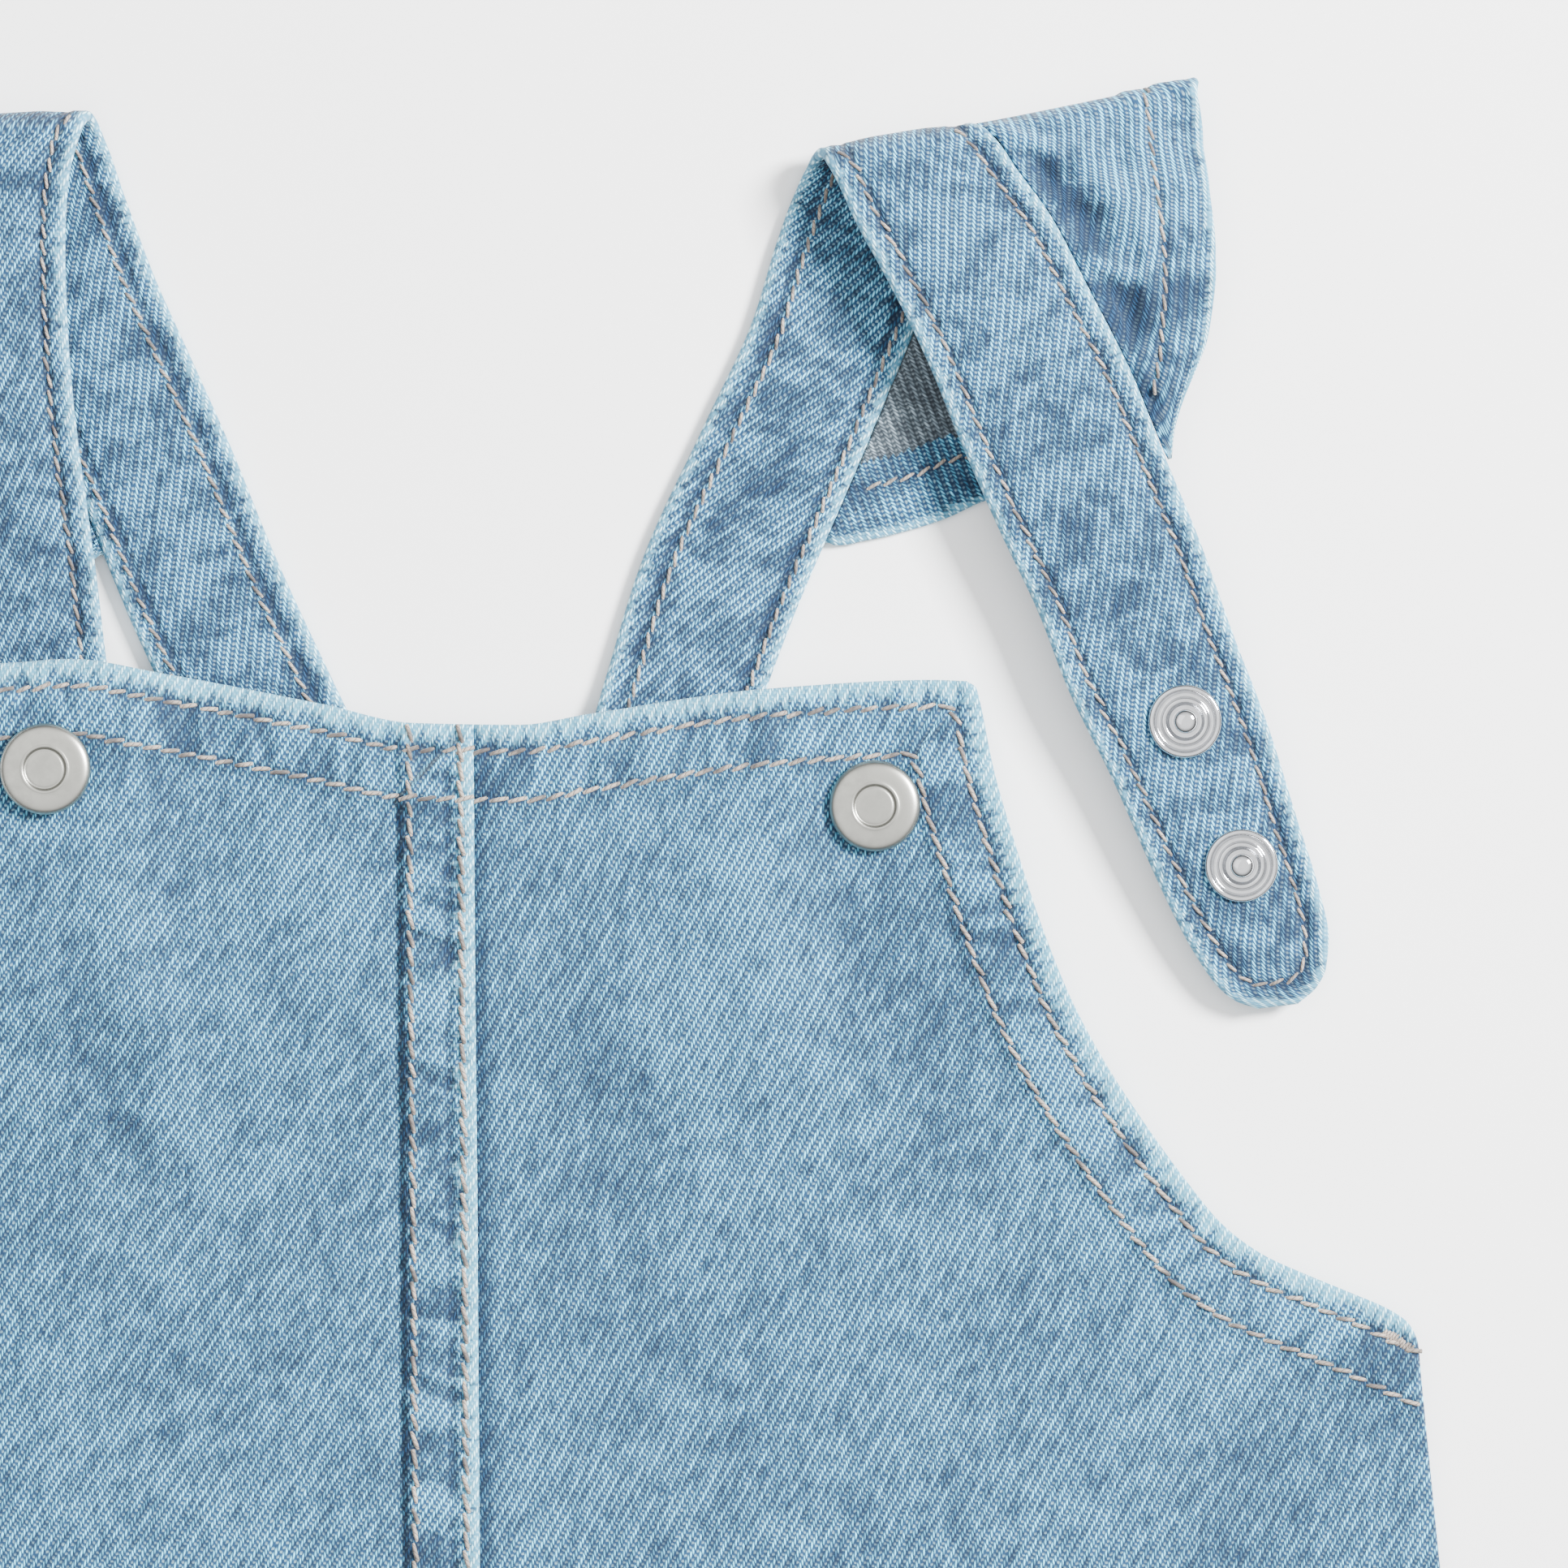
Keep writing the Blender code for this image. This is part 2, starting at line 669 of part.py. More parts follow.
def cap_profile():
    """A low dome with a raised ring round a flat middle."""
    ring = CAP_RADIUS * 0.48
    return (
        (0.0, CAP_HEIGHT - 0.5),
        (ring - 0.6, CAP_HEIGHT - 0.5),
        (ring, CAP_HEIGHT),
        (ring + 0.9, CAP_HEIGHT - 0.25),
        (CAP_RADIUS - 0.9, CAP_HEIGHT - 0.7),
        (CAP_RADIUS, CAP_HEIGHT - 1.2),
        (CAP_RADIUS, 0.8),
        (CAP_FOOT, 0.0),
        (0.0, 0.0),
    )


def stud_profile():
    """A ball on a dished flange with a rolled rim."""
    return (
        (0.0, STUD_HEIGHT),
        (BALL_RADIUS * 0.7, STUD_HEIGHT - 0.3),
        (BALL_RADIUS, STUD_HEIGHT - 0.9),
        (BALL_RADIUS - 0.4, STUD_FLANGE),
        (STUD_RADIUS - 2.0, STUD_FLANGE - 0.15),
        (STUD_RADIUS - 1.4, STUD_FLANGE + 0.2),
        (STUD_RADIUS - 0.4, STUD_FLANGE + 0.15),
        (STUD_RADIUS, STUD_FLANGE - 0.3),
        (STUD_RADIUS - 0.4, 0.0),
        (0.0, 0.0),
    )


def socket_profile():
    """A ring with a blind bore that opens downwards; its foot is its lower rim."""
    return (
        (0.0, SOCKET_HEIGHT),
        (SOCKET_RADIUS - 0.5, SOCKET_HEIGHT),
        (SOCKET_RADIUS, SOCKET_HEIGHT - 0.5),
        (SOCKET_RADIUS - 0.3, 0.9),
        (SOCKET_BORE + 1.6, 0.0),
        (SOCKET_BORE, 0.0),
        (SOCKET_BORE, SOCKET_DEPTH),
        (0.0, SOCKET_DEPTH),
    )


def stud_back_profile():
    """The plain disc that clamps a stud from the other face of the strap; its foot is its top."""
    return (
        (0.0, 0.0),
        (STUD_BACK_RADIUS - 0.3, 0.0),
        (STUD_BACK_RADIUS, -0.4),
        (STUD_BACK_RADIUS - 0.8, -STUD_BACK_HEIGHT),
        (0.0, -STUD_BACK_HEIGHT),
    )


def make_snaps(side, snap):
    """The cap on the bib and the socket that is clamped to it from inside."""
    up = Vector((0.0, 0.0, 1.0))
    under = [(0.0, 0.0), (CAP_FOOT, 0.0), (-CAP_FOOT, 0.0), (0.0, CAP_FOOT), (0.0, -CAP_FOOT)]
    highest = max(front_floor(snap.x + dx, snap.y + dy) for dx, dy in under)
    from_edge = top_edge_table().at(snap.x)[0] - snap.y - CAP_FOOT
    top = highest + CLOTH + TURNED_EDGE * turned_edge(from_edge) + SEAM_GAP
    turned(f"snap_cap_{side}", cap_profile(), SATIN_NICKEL, standing((snap.x, snap.y, top), up))
    foot = front_floor(snap.x, snap.y) - SEAM_GAP - SOCKET_HEIGHT
    turned(f"socket_{side}", socket_profile(), BRIGHT_STEEL, standing((snap.x, snap.y, foot), up))


def make_stud(name, strap, snap):
    """A stud on the strap's outer face and the disc that clamps it from the inner face."""
    length = strap.nearest(snap)
    outward = strap.outward(length, 0.5)
    height = strap.point(length, 0.5).z
    inner = Vector((snap.x, snap.y, height))
    outer = inner + outward * (STRAP_WALL + SEAM_GAP)
    turned(f"stud_{name}", stud_profile(), BRIGHT_STEEL, standing(outer, outward))
    back = inner - outward * SEAM_GAP
    turned(f"stud_back_{name}", stud_back_profile(), SATIN_NICKEL, standing(back, outward))


def main():
    clear_scene()
    dress = bpy.data.collections.new(DRESS)
    bpy.context.scene.collection.children.link(dress)
    left, right = Strap(STRAP_LEFT, -1.0), Strap(STRAP_RIGHT, 1.0)
    make_front("front_left", -1.0)
    make_front("front_right", 1.0)
    make_back()
    make_strap("strap_left", left)
    make_strap("strap_right", right)
    make_frill("frill_left", left)
    make_frill("frill_right", right)
    make_snaps("left", SNAP_LEFT)
    make_snaps("right", SNAP_RIGHT)
    make_stud("left_upper", left, SNAP_LEFT)
    make_stud("left_lower", left, STUD_LEFT_LOWER)
    make_stud("right_upper", right, STUD_RIGHT_UPPER)
    make_stud("right_lower", right, STUD_RIGHT_LOWER)


main()
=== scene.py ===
"""Looks of a toddler's dungaree dress in stone-washed denim, laid flat with its front up.

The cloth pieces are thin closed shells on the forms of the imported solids, with their turned
edges, puckers and creases. The weave, the wash and the wear are procedural. Tables are in
millimetres: x from the centre front, y up from the bib's top edge there, z up.
"""
import logging
import math
from dataclasses import dataclass, field
from enum import Enum
from typing import Callable, NamedTuple, Sequence

import bpy
import numpy as np
from mathutils import Matrix, Vector
from mathutils.bvhtree import BVHTree

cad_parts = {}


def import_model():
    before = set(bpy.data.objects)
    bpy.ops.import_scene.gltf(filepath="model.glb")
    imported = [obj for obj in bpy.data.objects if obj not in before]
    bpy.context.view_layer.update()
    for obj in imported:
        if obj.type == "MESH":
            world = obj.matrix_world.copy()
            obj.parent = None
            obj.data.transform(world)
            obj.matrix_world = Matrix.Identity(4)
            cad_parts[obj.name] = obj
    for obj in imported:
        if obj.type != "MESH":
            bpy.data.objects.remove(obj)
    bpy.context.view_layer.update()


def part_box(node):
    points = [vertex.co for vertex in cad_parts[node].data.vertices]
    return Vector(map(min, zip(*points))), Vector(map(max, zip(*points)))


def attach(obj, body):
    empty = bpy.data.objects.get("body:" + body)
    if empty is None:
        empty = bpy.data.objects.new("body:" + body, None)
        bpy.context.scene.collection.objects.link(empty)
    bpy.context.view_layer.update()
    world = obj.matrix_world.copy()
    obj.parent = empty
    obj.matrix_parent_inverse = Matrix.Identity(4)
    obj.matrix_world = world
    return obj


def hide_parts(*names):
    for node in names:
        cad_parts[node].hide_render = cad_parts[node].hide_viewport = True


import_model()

LOG = logging.getLogger("dungaree_dress")
MM = 0.001
ROOT = "root"
Points = np.ndarray

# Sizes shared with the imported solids, in millimetres
CLOTH = 1.2
TURNED_EDGE = 0.7
FELLED_SEAM = 0.8
STRAP_WALL = 2.0
SEAM_GAP = 0.3
FRONT_FLOOR = 2.2
EDGE_WIDTH = 12.5
EDGE_SLOPE = 1.5
HEM_WIDTH = 19.0
SEAM_WIDTH = 11.5
SEAM_LEAN = 0.007
SEAM_TUCK = 0.15
HEM_DROP = 410.0
TOP_REACH = 103.4
Y_MIDDLE = (TOP_REACH - HEM_DROP) / 2


class Edge(NamedTuple):
    """A point of the bib's top edge."""

    x: float
    y: float


class Section(NamedTuple):
    """A section across one half of a panel: its side point and its middle."""

    side_x: float
    side_y: float
    middle_y: float


class Lift(NamedTuple):
    """Something under the front: a flat top, then a slope out to its reach."""

    x: float
    y: float
    flat_x: float
    flat_y: float
    reach_x: float
    reach_y: float
    height: float


class StrapRow(NamedTuple):
    """A section across a strap; z is its inner face."""

    neck_x: float
    neck_y: float
    arm_x: float
    arm_y: float
    neck_z: float
    arm_z: float


class FrillRow(NamedTuple):
    """Where the frill's seam is on the strap, and how far its hem reaches from there."""

    strap_row: float
    away: float
    up: float
    z: float


class Gather(NamedTuple):
    """A ridge in the frill that rises at the strap and fades towards the hem."""

    strap_row: float
    spread: float
    height: float


class Crease(NamedTuple):
    """A soft trough or ridge along a line, with its half width and height; its painted shade darkens a trough
    and lightens a ridge as a painted highlight.
    """

    x0: float
    y0: float
    x1: float
    y1: float
    width: float
    height: float


class Snap(NamedTuple):
    """The middle of a press stud."""

    x: float
    y: float


TOP_EDGE = (
    Edge(-85.0, 9.6), Edge(-70.0, 9.8), Edge(-58.5, 10.5), Edge(-44.0, 8.2), Edge(-18.0, 3.2),
    Edge(-4.0, 0.3), Edge(13.0, 0.0), Edge(24.0, 1.7), Edge(53.0, 5.8), Edge(79.0, 7.2),
    Edge(85.0, 7.0),
)
LEFT_CORNER_RISE = 2.6
SKIRT = (
    Section(157.4, -104.0, -131.0), Section(158.7, -117.0, -143.0),
    Section(160.5, -135.0, -160.0), Section(166.5, -190.0, -212.0),
    Section(174.5, -260.0, -278.0), Section(182.5, -335.0, -347.0),
    Section(190.0, -402.0, -HEM_DROP),
)
FRONT_HALF = (
    Section(84.6, 7.0, 0.0), Section(86.1, 6.0, -1.8), Section(86.7, 4.0, -3.9),
    Section(88.9, -6.8, -14.9), Section(92.7, -20.0, -28.0), Section(96.5, -31.7, -40.0),
    Section(101.1, -43.3, -52.0), Section(106.1, -52.9, -63.0), Section(111.9, -62.0, -74.0),
    Section(119.7, -72.9, -87.0), Section(125.8, -80.2, -97.0), Section(132.0, -84.8, -104.5),
    Section(139.2, -88.1, -111.0), Section(146.5, -91.1, -117.0), Section(152.6, -93.8, -121.5),
    Section(155.6, -96.1, -124.5), Section(157.0, -99.4, -127.5),
) + SKIRT
BACK_HALF = (
    Section(43.0, -15.2, -15.2), Section(44.0, -24.0, -24.0), Section(48.0, -38.0, -38.0),
    Section(57.0, -53.0, -51.0), Section(72.0, -66.5, -64.0), Section(92.0, -78.0, -80.0),
    Section(115.0, -86.0, -95.0), Section(135.0, -90.8, -107.0), Section(149.0, -94.8, -118.0),
    Section(154.4, -97.2, -124.0), Section(156.7, -100.6, -127.8),
) + SKIRT
BACK_SHIFT = 6.0
LIFTS = (
    Lift(-63.0, -22.0, 15.0, 37.0, 29.0, 52.0, 2.1),
    Lift(-62.6, -19.0, 9.0, 22.0, 22.0, 38.0, 2.8),
    Lift(7.0, -25.0, 42.0, 16.0, 62.0, 46.0, 2.4),
    Lift(69.9, -13.0, 8.0, 8.0, 22.0, 22.0, 0.6),
    Lift(0.0, -260.0, 80.0, 90.0, 150.0, 125.0, -0.6),
)
STRAP_RIGHT = (
    StrapRow(14.1, -31.1, 37.9, -38.9, 4.2, 4.2), StrapRow(23.1, -5.1, 46.9, -12.9, 4.2, 4.2),
    StrapRow(26.9, 8.0, 50.7, 0.2, 2.4, 2.4), StrapRow(32.6, 26.4, 56.8, 17.0, 2.0, 2.0),
    StrapRow(42.8, 48.6, 66.0, 38.5, 2.0, 2.0), StrapRow(50.2, 64.5, 72.3, 53.5, 2.0, 2.0),
    StrapRow(54.3, 77.7, 78.4, 68.5, 2.0, 2.0), StrapRow(57.1, 85.2, 82.3, 81.5, 2.2, 2.1),
    StrapRow(59.2, 89.0, 84.7, 91.2, 3.0, 2.5), StrapRow(61.0, 90.4, 86.1, 94.6, 5.4, 4.6),
    StrapRow(62.6, 88.6, 88.4, 93.8, 8.0, 6.8), StrapRow(67.0, 79.6, 92.7, 88.3, 8.8, 7.6),
    StrapRow(72.8, 69.0, 98.0, 81.0, 8.5, 7.4), StrapRow(78.4, 57.6, 104.0, 69.6, 7.8, 7.0),
    StrapRow(84.4, 43.0, 111.0, 55.8, 7.2, 6.5), StrapRow(90.0, 30.4, 116.2, 42.8, 6.8, 6.0),
    StrapRow(95.8, 18.2, 121.8, 29.3, 6.4, 5.4), StrapRow(100.9, 5.2, 127.1, 14.6, 5.8, 4.7),
    StrapRow(107.8, -8.7, 132.6, 0.3, 5.0, 4.0), StrapRow(114.3, -23.3, 137.6, -15.5, 4.0, 3.2),
    StrapRow(119.0, -33.0, 141.0, -26.3, 3.2, 2.6), StrapRow(122.2, -38.4, 142.6, -34.1, 2.8, 2.3),
    StrapRow(124.9, -42.0, 142.2, -38.8, 2.5, 2.1), StrapRow(127.8, -44.3, 140.7, -42.0, 2.3, 2.0),
    StrapRow(131.2, -45.5, 137.6, -44.7, 2.2, 2.0),
)
STRAP_LEFT = (
    StrapRow(-0.5, -30.1, -23.5, -39.9, 4.2, 4.2), StrapRow(-11.4, -4.3, -34.4, -14.1, 4.2, 4.2),
    StrapRow(-17.0, 7.2, -40.6, -2.0, 2.4, 2.4), StrapRow(-26.1, 26.8, -49.5, 16.9, 2.0, 2.0),
    StrapRow(-33.5, 44.9, -57.0, 35.2, 2.0, 2.0), StrapRow(-39.4, 58.1, -62.8, 48.4, 2.0, 2.0),
    StrapRow(-45.8, 72.4, -69.2, 63.7, 2.0, 2.0), StrapRow(-50.3, 84.6, -74.2, 79.5, 2.2, 2.1),
    StrapRow(-53.6, 93.8, -77.8, 91.6, 3.0, 2.5), StrapRow(-55.2, 96.4, -79.5, 95.0, 5.4, 4.6),
    StrapRow(-56.6, 94.4, -82.5, 93.2, 8.0, 6.8), StrapRow(-58.8, 85.0, -86.5, 84.6, 8.6, 7.6),
    StrapRow(-59.2, 75.7, -87.2, 75.6, 8.2, 7.4), StrapRow(-58.9, 64.5, -86.9, 65.5, 7.6, 7.0),
    StrapRow(-58.2, 53.8, -86.0, 55.3, 7.0, 6.6), StrapRow(-57.2, 44.3, -84.9, 46.5, 6.2, 6.0),
    StrapRow(-55.9, 34.4, -83.4, 37.0, 5.2, 5.2), StrapRow(-54.4, 22.5, -81.6, 25.0, 4.0, 4.0),
    StrapRow(-53.2, 11.3, -79.8, 13.6, 2.6, 2.6), StrapRow(-51.2, -2.0, -76.6, -0.4, 1.6, 1.6),
    StrapRow(-50.0, -20.0, -74.8, -18.8, 1.6, 1.6), StrapRow(-49.9, -38.0, -73.2, -37.2, 1.6, 1.6),
    StrapRow(-51.6, -48.4, -71.2, -48.0, 2.2, 2.2), StrapRow(-55.0, -54.4, -67.6, -54.2, 2.3, 2.3),
    StrapRow(-58.6, -56.8, -63.8, -56.8, 2.3, 2.3),
)
FOLD_ROW = 9.0
FRILL = (
    FrillRow(3.56, 0.6, -0.3, 1.2), FrillRow(3.75, 0.8, -4.4, 1.2), FrillRow(3.98, 1.9, -8.7, 1.2),
    FrillRow(4.39, 6.0, -13.4, 1.2), FrillRow(4.92, 12.6, -17.8, 1.2),
    FrillRow(5.53, 25.2, -19.4, 1.2), FrillRow(6.40, 32.5, -15.6, 1.2),
    FrillRow(7.40, 35.1, -6.0, 1.2), FrillRow(8.30, 35.4, 4.5, 1.3), FrillRow(9.00, 35.6, 7.9, 2.3),
    FrillRow(9.80, 33.6, 7.4, 3.3), FrillRow(10.50, 31.6, 4.6, 3.8), FrillRow(11.20, 28.8, 4.2, 4.4),
    FrillRow(12.14, 24.7, 4.2, 4.8), FrillRow(13.00, 20.3, 4.9, 5.0), FrillRow(13.65, 15.1, 5.3, 5.2),
    FrillRow(14.40, 7.8, 5.6, 5.6), FrillRow(14.88, 2.0, 2.6, 5.9), FrillRow(15.04, 0.7, 0.3, 6.0),
)
GATHERS = (
    Gather(4.9, 0.34, 0.9), Gather(5.9, 0.34, 1.2), Gather(7.0, 0.36, 1.0), Gather(10.9, 0.30, 0.9),
    Gather(11.7, 0.28, 1.4), Gather(12.5, 0.28, 1.0), Gather(13.3, 0.28, 1.3), Gather(14.0, 0.26, 0.8),
)
SNAP_LEFT = Snap(-62.4, -7.1)
SNAP_RIGHT = Snap(69.9, -13.0)
STUD_RIGHT_UPPER = Snap(119.3, 0.6)
STUD_RIGHT_LOWER = Snap(128.4, -22.4)
STUD_LEFT_LOWER = Snap(-62.0, -31.9)


def smooth(value: Points) -> Points:
    """Return a soft step from 0 to 1 as the value goes from 0 to 1."""
    value = np.clip(value, 0.0, 1.0)
    return value * value * (3.0 - 2.0 * value)


def world(points: Points) -> Points:
    """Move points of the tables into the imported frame, in metres."""
    return (points - np.array((0.0, Y_MIDDLE, 0.0))) * MM


def wander(place: Points, pitch: float, seed: int) -> Points:
    """Return a smooth irregular wave between -1 and 1.

    Args:
        place: Where on the line, in millimetres.
        pitch: The usual distance from crest to crest.
        seed: Chooses the phases.

    Returns:
        The height of the wave at each place.
    """
    rng = np.random.default_rng(seed)
    total = np.zeros_like(place)
    for share, weight in ((0.83, 0.40), (1.0, 0.45), (1.21, 0.35), (0.37, 0.30), (1.9, 0.15)):
        phase = rng.uniform(0.0, 2.0 * math.pi)
        total = total + weight * np.sin(2.0 * math.pi * place / (pitch * share) + phase)
    return np.clip(total, -1.0, 1.0)


def graded(start: float, end: float, size: Callable[[float], float]) -> Points:
    """Return places from start to end whose spacing follows a size at each place.

    Args:
        start: The first place.
        end: The last place.
        size: Gives the wanted spacing at a place.

    Returns:
        The places, start and end among them.
    """
    places = [start]
    while places[-1] < end:
        places.append(places[-1] + size(places[-1]))
    found = np.array(places)
    return start + (found - start) * (end - start) / (found[-1] - start)


def run_lengths(points: Points) -> Points:
    """Return how far along the points each of them is."""
    return np.concatenate(([0.0], np.cumsum(np.linalg.norm(np.diff(points, axis=0), axis=1))))


class Curves:
    """Columns of a table read as smooth curves that never swing past their rows."""

    def __init__(self, rows: Sequence[Sequence[float]], places: Sequence[float]) -> None:
        """Work out each column's slopes.

        Args:
            rows: The table.
            places: Where each row stands.
        """
        self.places = np.asarray(places, float)
        self.values = np.asarray(rows, float)
        rises = np.diff(self.values, axis=0) / np.diff(self.places)[:, None]
        before, after = rises[:-1], rises[1:]
        together = before * after > 0.0
        total = np.where(together, before + after, 1.0)
        self.slopes = np.empty_like(self.values)
        self.slopes[0], self.slopes[-1] = rises[0], rises[-1]
        self.slopes[1:-1] = np.where(together, 2.0 * before * after / total, 0.0)

    def at(self, place: Points | float) -> Points:
        """Read the curves.

        Args:
            place: One place or many.

        Returns:
            The columns' values, in the last axis.
        """
        place = np.clip(np.asarray(place, float), self.places[0], self.places[-1])
        index = np.clip(np.searchsorted(self.places, place, "right") - 1, 0, len(self.places) - 2)
        step = self.places[index + 1] - self.places[index]
        t = ((place - self.places[index]) / step)[..., None]
        step = step[..., None]
        start, end = self.values[index], self.values[index + 1]
        value = start * (1 + 2 * t) * (1 - t) ** 2 + end * t * t * (3 - 2 * t)
        bend = self.slopes[index] * t * (1 - t) ** 2 - self.slopes[index + 1] * t * t * (1 - t)
        return value + step * bend


def front_floor(x: Points, y: Points) -> Points:
    """Return the height of the front's inner face over what lies under it."""
    height = np.full_like(x, FRONT_FLOOR)
    for lift in LIFTS:
        across = 1 - smooth((np.abs(x - lift.x) - lift.flat_x) / (lift.reach_x - lift.flat_x))
        along = 1 - smooth((np.abs(y - lift.y) - lift.flat_y) / (lift.reach_y - lift.flat_y))
        height = height + lift.height * across * along
    return height


def creased(x: Points, y: Points, creases: Sequence[Crease]) -> tuple[Points, Points]:
    """Add up soft creases.

    Args:
        x: Places across, in millimetres.
        y: Places up.
        creases: The lines, widths and heights.

    Returns:
        The height, and a painted shade between -1 in the troughs and 1 on the ridges, where it is a painted
        highlight.
    """
    height, shade = np.zeros_like(x), np.zeros_like(x)
    for crease in creases:
        along = np.array((crease.x1 - crease.x0, crease.y1 - crease.y0))
        length = float(np.hypot(*along))
        share = ((x - crease.x0) * along[0] + (y - crease.y0) * along[1]) / length ** 2
        near = np.clip(share, 0.0, 1.0)
        apart = np.hypot(x - crease.x0 - near * along[0], y - crease.y0 - near * along[1])
        taper = 0.35 + 0.65 * np.sin(math.pi * np.clip(share, 0.0, 1.0))
        bump = np.exp(-((apart / crease.width) ** 2)) * taper
        height = height + crease.height * bump
        shade = shade + math.copysign(min(abs(crease.height), 1.0), crease.height) * bump
    return height, np.clip(shade, -1.0, 1.0)


def nearest_on(line: Points, x: Points, y: Points) -> tuple[Points, Points]:
    """Find the nearest point of a line in plan.

    Args:
        line: The line's points.
        x: Places across.
        y: Places up.

    Returns:
        The distance to the line, and how far along it the nearest point is.
    """
    start, end = line[:-1, :2], line[1:, :2]
    step = end - start
    square = np.maximum((step ** 2).sum(1), 1e-12)
    runs = run_lengths(line[:, :2])
    flat = np.stack((x.ravel(), y.ravel()), 1)
    distance, run = np.empty(len(flat)), np.empty(len(flat))
    for first in range(0, len(flat), 4000):
        part = flat[first:first + 4000, None, :]
        t = np.clip(((part - start) * step).sum(2) / square, 0.0, 1.0)
        apart = np.linalg.norm(part - start - step * t[..., None], axis=2)
        best = apart.argmin(1)
        row = np.arange(len(best))
        distance[first:first + 4000] = apart[row, best]
        run[first:first + 4000] = runs[best] + np.sqrt(square[best]) * t[row, best]
    return distance.reshape(x.shape), run.reshape(x.shape)


def inset(line: Points, distance: float, side: float) -> Points:
    """Move a line sideways in plan, and drop what comes too near to it again.

    Args:
        line: The line's points, with their heights.
        distance: How far to move it.
        side: 1 for its left side, -1 for its right side.

    Returns:
        The moved line.
    """
    slope = np.gradient(line[:, :2], axis=0)
    slope /= np.linalg.norm(slope, axis=1)[:, None]
    moved = line.copy()
    moved[:, 0] -= side * distance * slope[:, 1]
    moved[:, 1] += side * distance * slope[:, 0]
    apart, _ = nearest_on(line, moved[:, 0], moved[:, 1])
    return moved[apart >= distance - 0.03]


def as_row(points: Points, step: float = 1.0) -> Points:
    """Return the same line with points at even steps."""
    runs = run_lengths(points)
    places = np.arange(0.0, runs[-1], step)
    return np.stack([np.interp(places, runs, points[:, k]) for k in range(3)], 1)


@dataclass
class Cloth:
    """A cloth piece on a grid: rows run up, lanes run right as seen from over it."""

    name: str
    under: Points
    over: Points
    weave_under: Points
    weave_over: Points
    edge: Points
    run: Points
    # Painted shade where below 0 and painted highlight where above 0.
    shade: Points

    def area(self) -> float:
        """Return the area of the cloth, in square metres."""
        middle = (self.under + self.over) / 2 * MM
        across, along = np.diff(middle, axis=1)[:-1], np.diff(middle, axis=0)[:, :-1]
        return float(np.linalg.norm(np.cross(across, along), axis=2).sum())

    def build(self, finish_over: "Denim", finish_under: "Denim", turned: float = 0.0) -> bpy.types.Object:
        """Make the closed shell.

        Args:
            finish_over: The finish of its upper face.
            finish_under: The finish of its lower face.
            turned: How far a turned edge shows the upper finish on the lower face.

        Returns:
            The piece.
        """
        rows, lanes = self.edge.shape
        count = rows * lanes
        top = np.arange(count).reshape(rows, lanes)
        low = top.copy()
        inside = (rows - 2) * (lanes - 2)
        low[1:-1, 1:-1] = count + np.arange(inside).reshape(rows - 2, lanes - 2)
        over = self.over.copy()
        rim = np.ones((rows, lanes), bool)
        rim[1:-1, 1:-1] = False
        over[rim] = (self.over[rim] + self.under[rim]) / 2
        points = np.concatenate((over.reshape(-1, 3), self.under[1:-1, 1:-1].reshape(-1, 3)))

        def quads(grid: Points) -> Points:
            """Return the grid's faces, turning to the left."""
            corners = (grid[:-1, :-1], grid[:-1, 1:], grid[1:, 1:], grid[1:, :-1])
            return np.stack([corner.ravel() for corner in corners], 1)

        upper, lower = quads(top), quads(low)[:, ::-1]
        rim_lower = upper[:, ::-1]
        mesh = bpy.data.meshes.new(self.name)
        faces = np.concatenate((upper, lower))
        mesh.vertices.add(len(points))
        mesh.vertices.foreach_set("co", world(points).astype(np.float32).ravel())
        mesh.loops.add(faces.size)
        mesh.loops.foreach_set("vertex_index", faces.astype(np.int32).ravel())
        mesh.polygons.add(len(faces))
        mesh.polygons.foreach_set("loop_start", np.arange(0, faces.size, 4, dtype=np.int32))
        mesh.polygons.foreach_set("loop_total", np.full(len(faces), 4, np.int32))
        weave = mesh.uv_layers.new(name="weave")
        uv_over = self.weave_over.reshape(-1, 2)[upper.ravel()]
        uv_under = self.weave_under.reshape(-1, 2)[rim_lower.ravel()]
        weave.data.foreach_set("uv", np.concatenate((uv_over, uv_under)).astype(np.float32).ravel())
        for name, values in (("edge", self.edge), ("run", self.run), ("shade", self.shade)):
            layer = mesh.attributes.new(name, "FLOAT", "POINT")
            both = np.concatenate((values.ravel(), values[1:-1, 1:-1].ravel()))
            layer.data.foreach_set("value", both.astype(np.float32))
        mesh.materials.append(finish_over.material())
        mesh.materials.append(finish_under.material())
        edge = self.edge.ravel()[rim_lower].mean(1)
        below = np.where(edge < turned, 0, 1)
        slots = np.concatenate((np.zeros(len(upper), np.int32), below.astype(np.int32)))
        mesh.polygons.foreach_set("material_index", slots)
        mesh.update(calc_edges=True)
        mesh.validate()
        mesh.shade_smooth()
        obj = bpy.data.objects.new(self.name, mesh)
        bpy.context.scene.collection.objects.link(obj)
        return obj


def rolled(under: Points, over: Points, distance: Points) -> tuple[Points, Points]:
    """Round a shell's rim over half its thickness.

    Args:
        under: The lower face's points.
        over: The upper face's points.
        distance: How far each point is from the rim.

    Returns:
        The lower and the upper points with a round rim.
    """
    middle = (under + over) / 2
    half = np.linalg.norm(over - under, axis=2) / 2
    inward = np.clip(distance / np.maximum(half, 0.1), 0.0, 1.0)
    share = np.sqrt(np.clip(1.0 - (1.0 - inward) ** 2, 0.0, 1.0))[..., None]
    return middle + (under - middle) * share, middle + (over - middle) * share


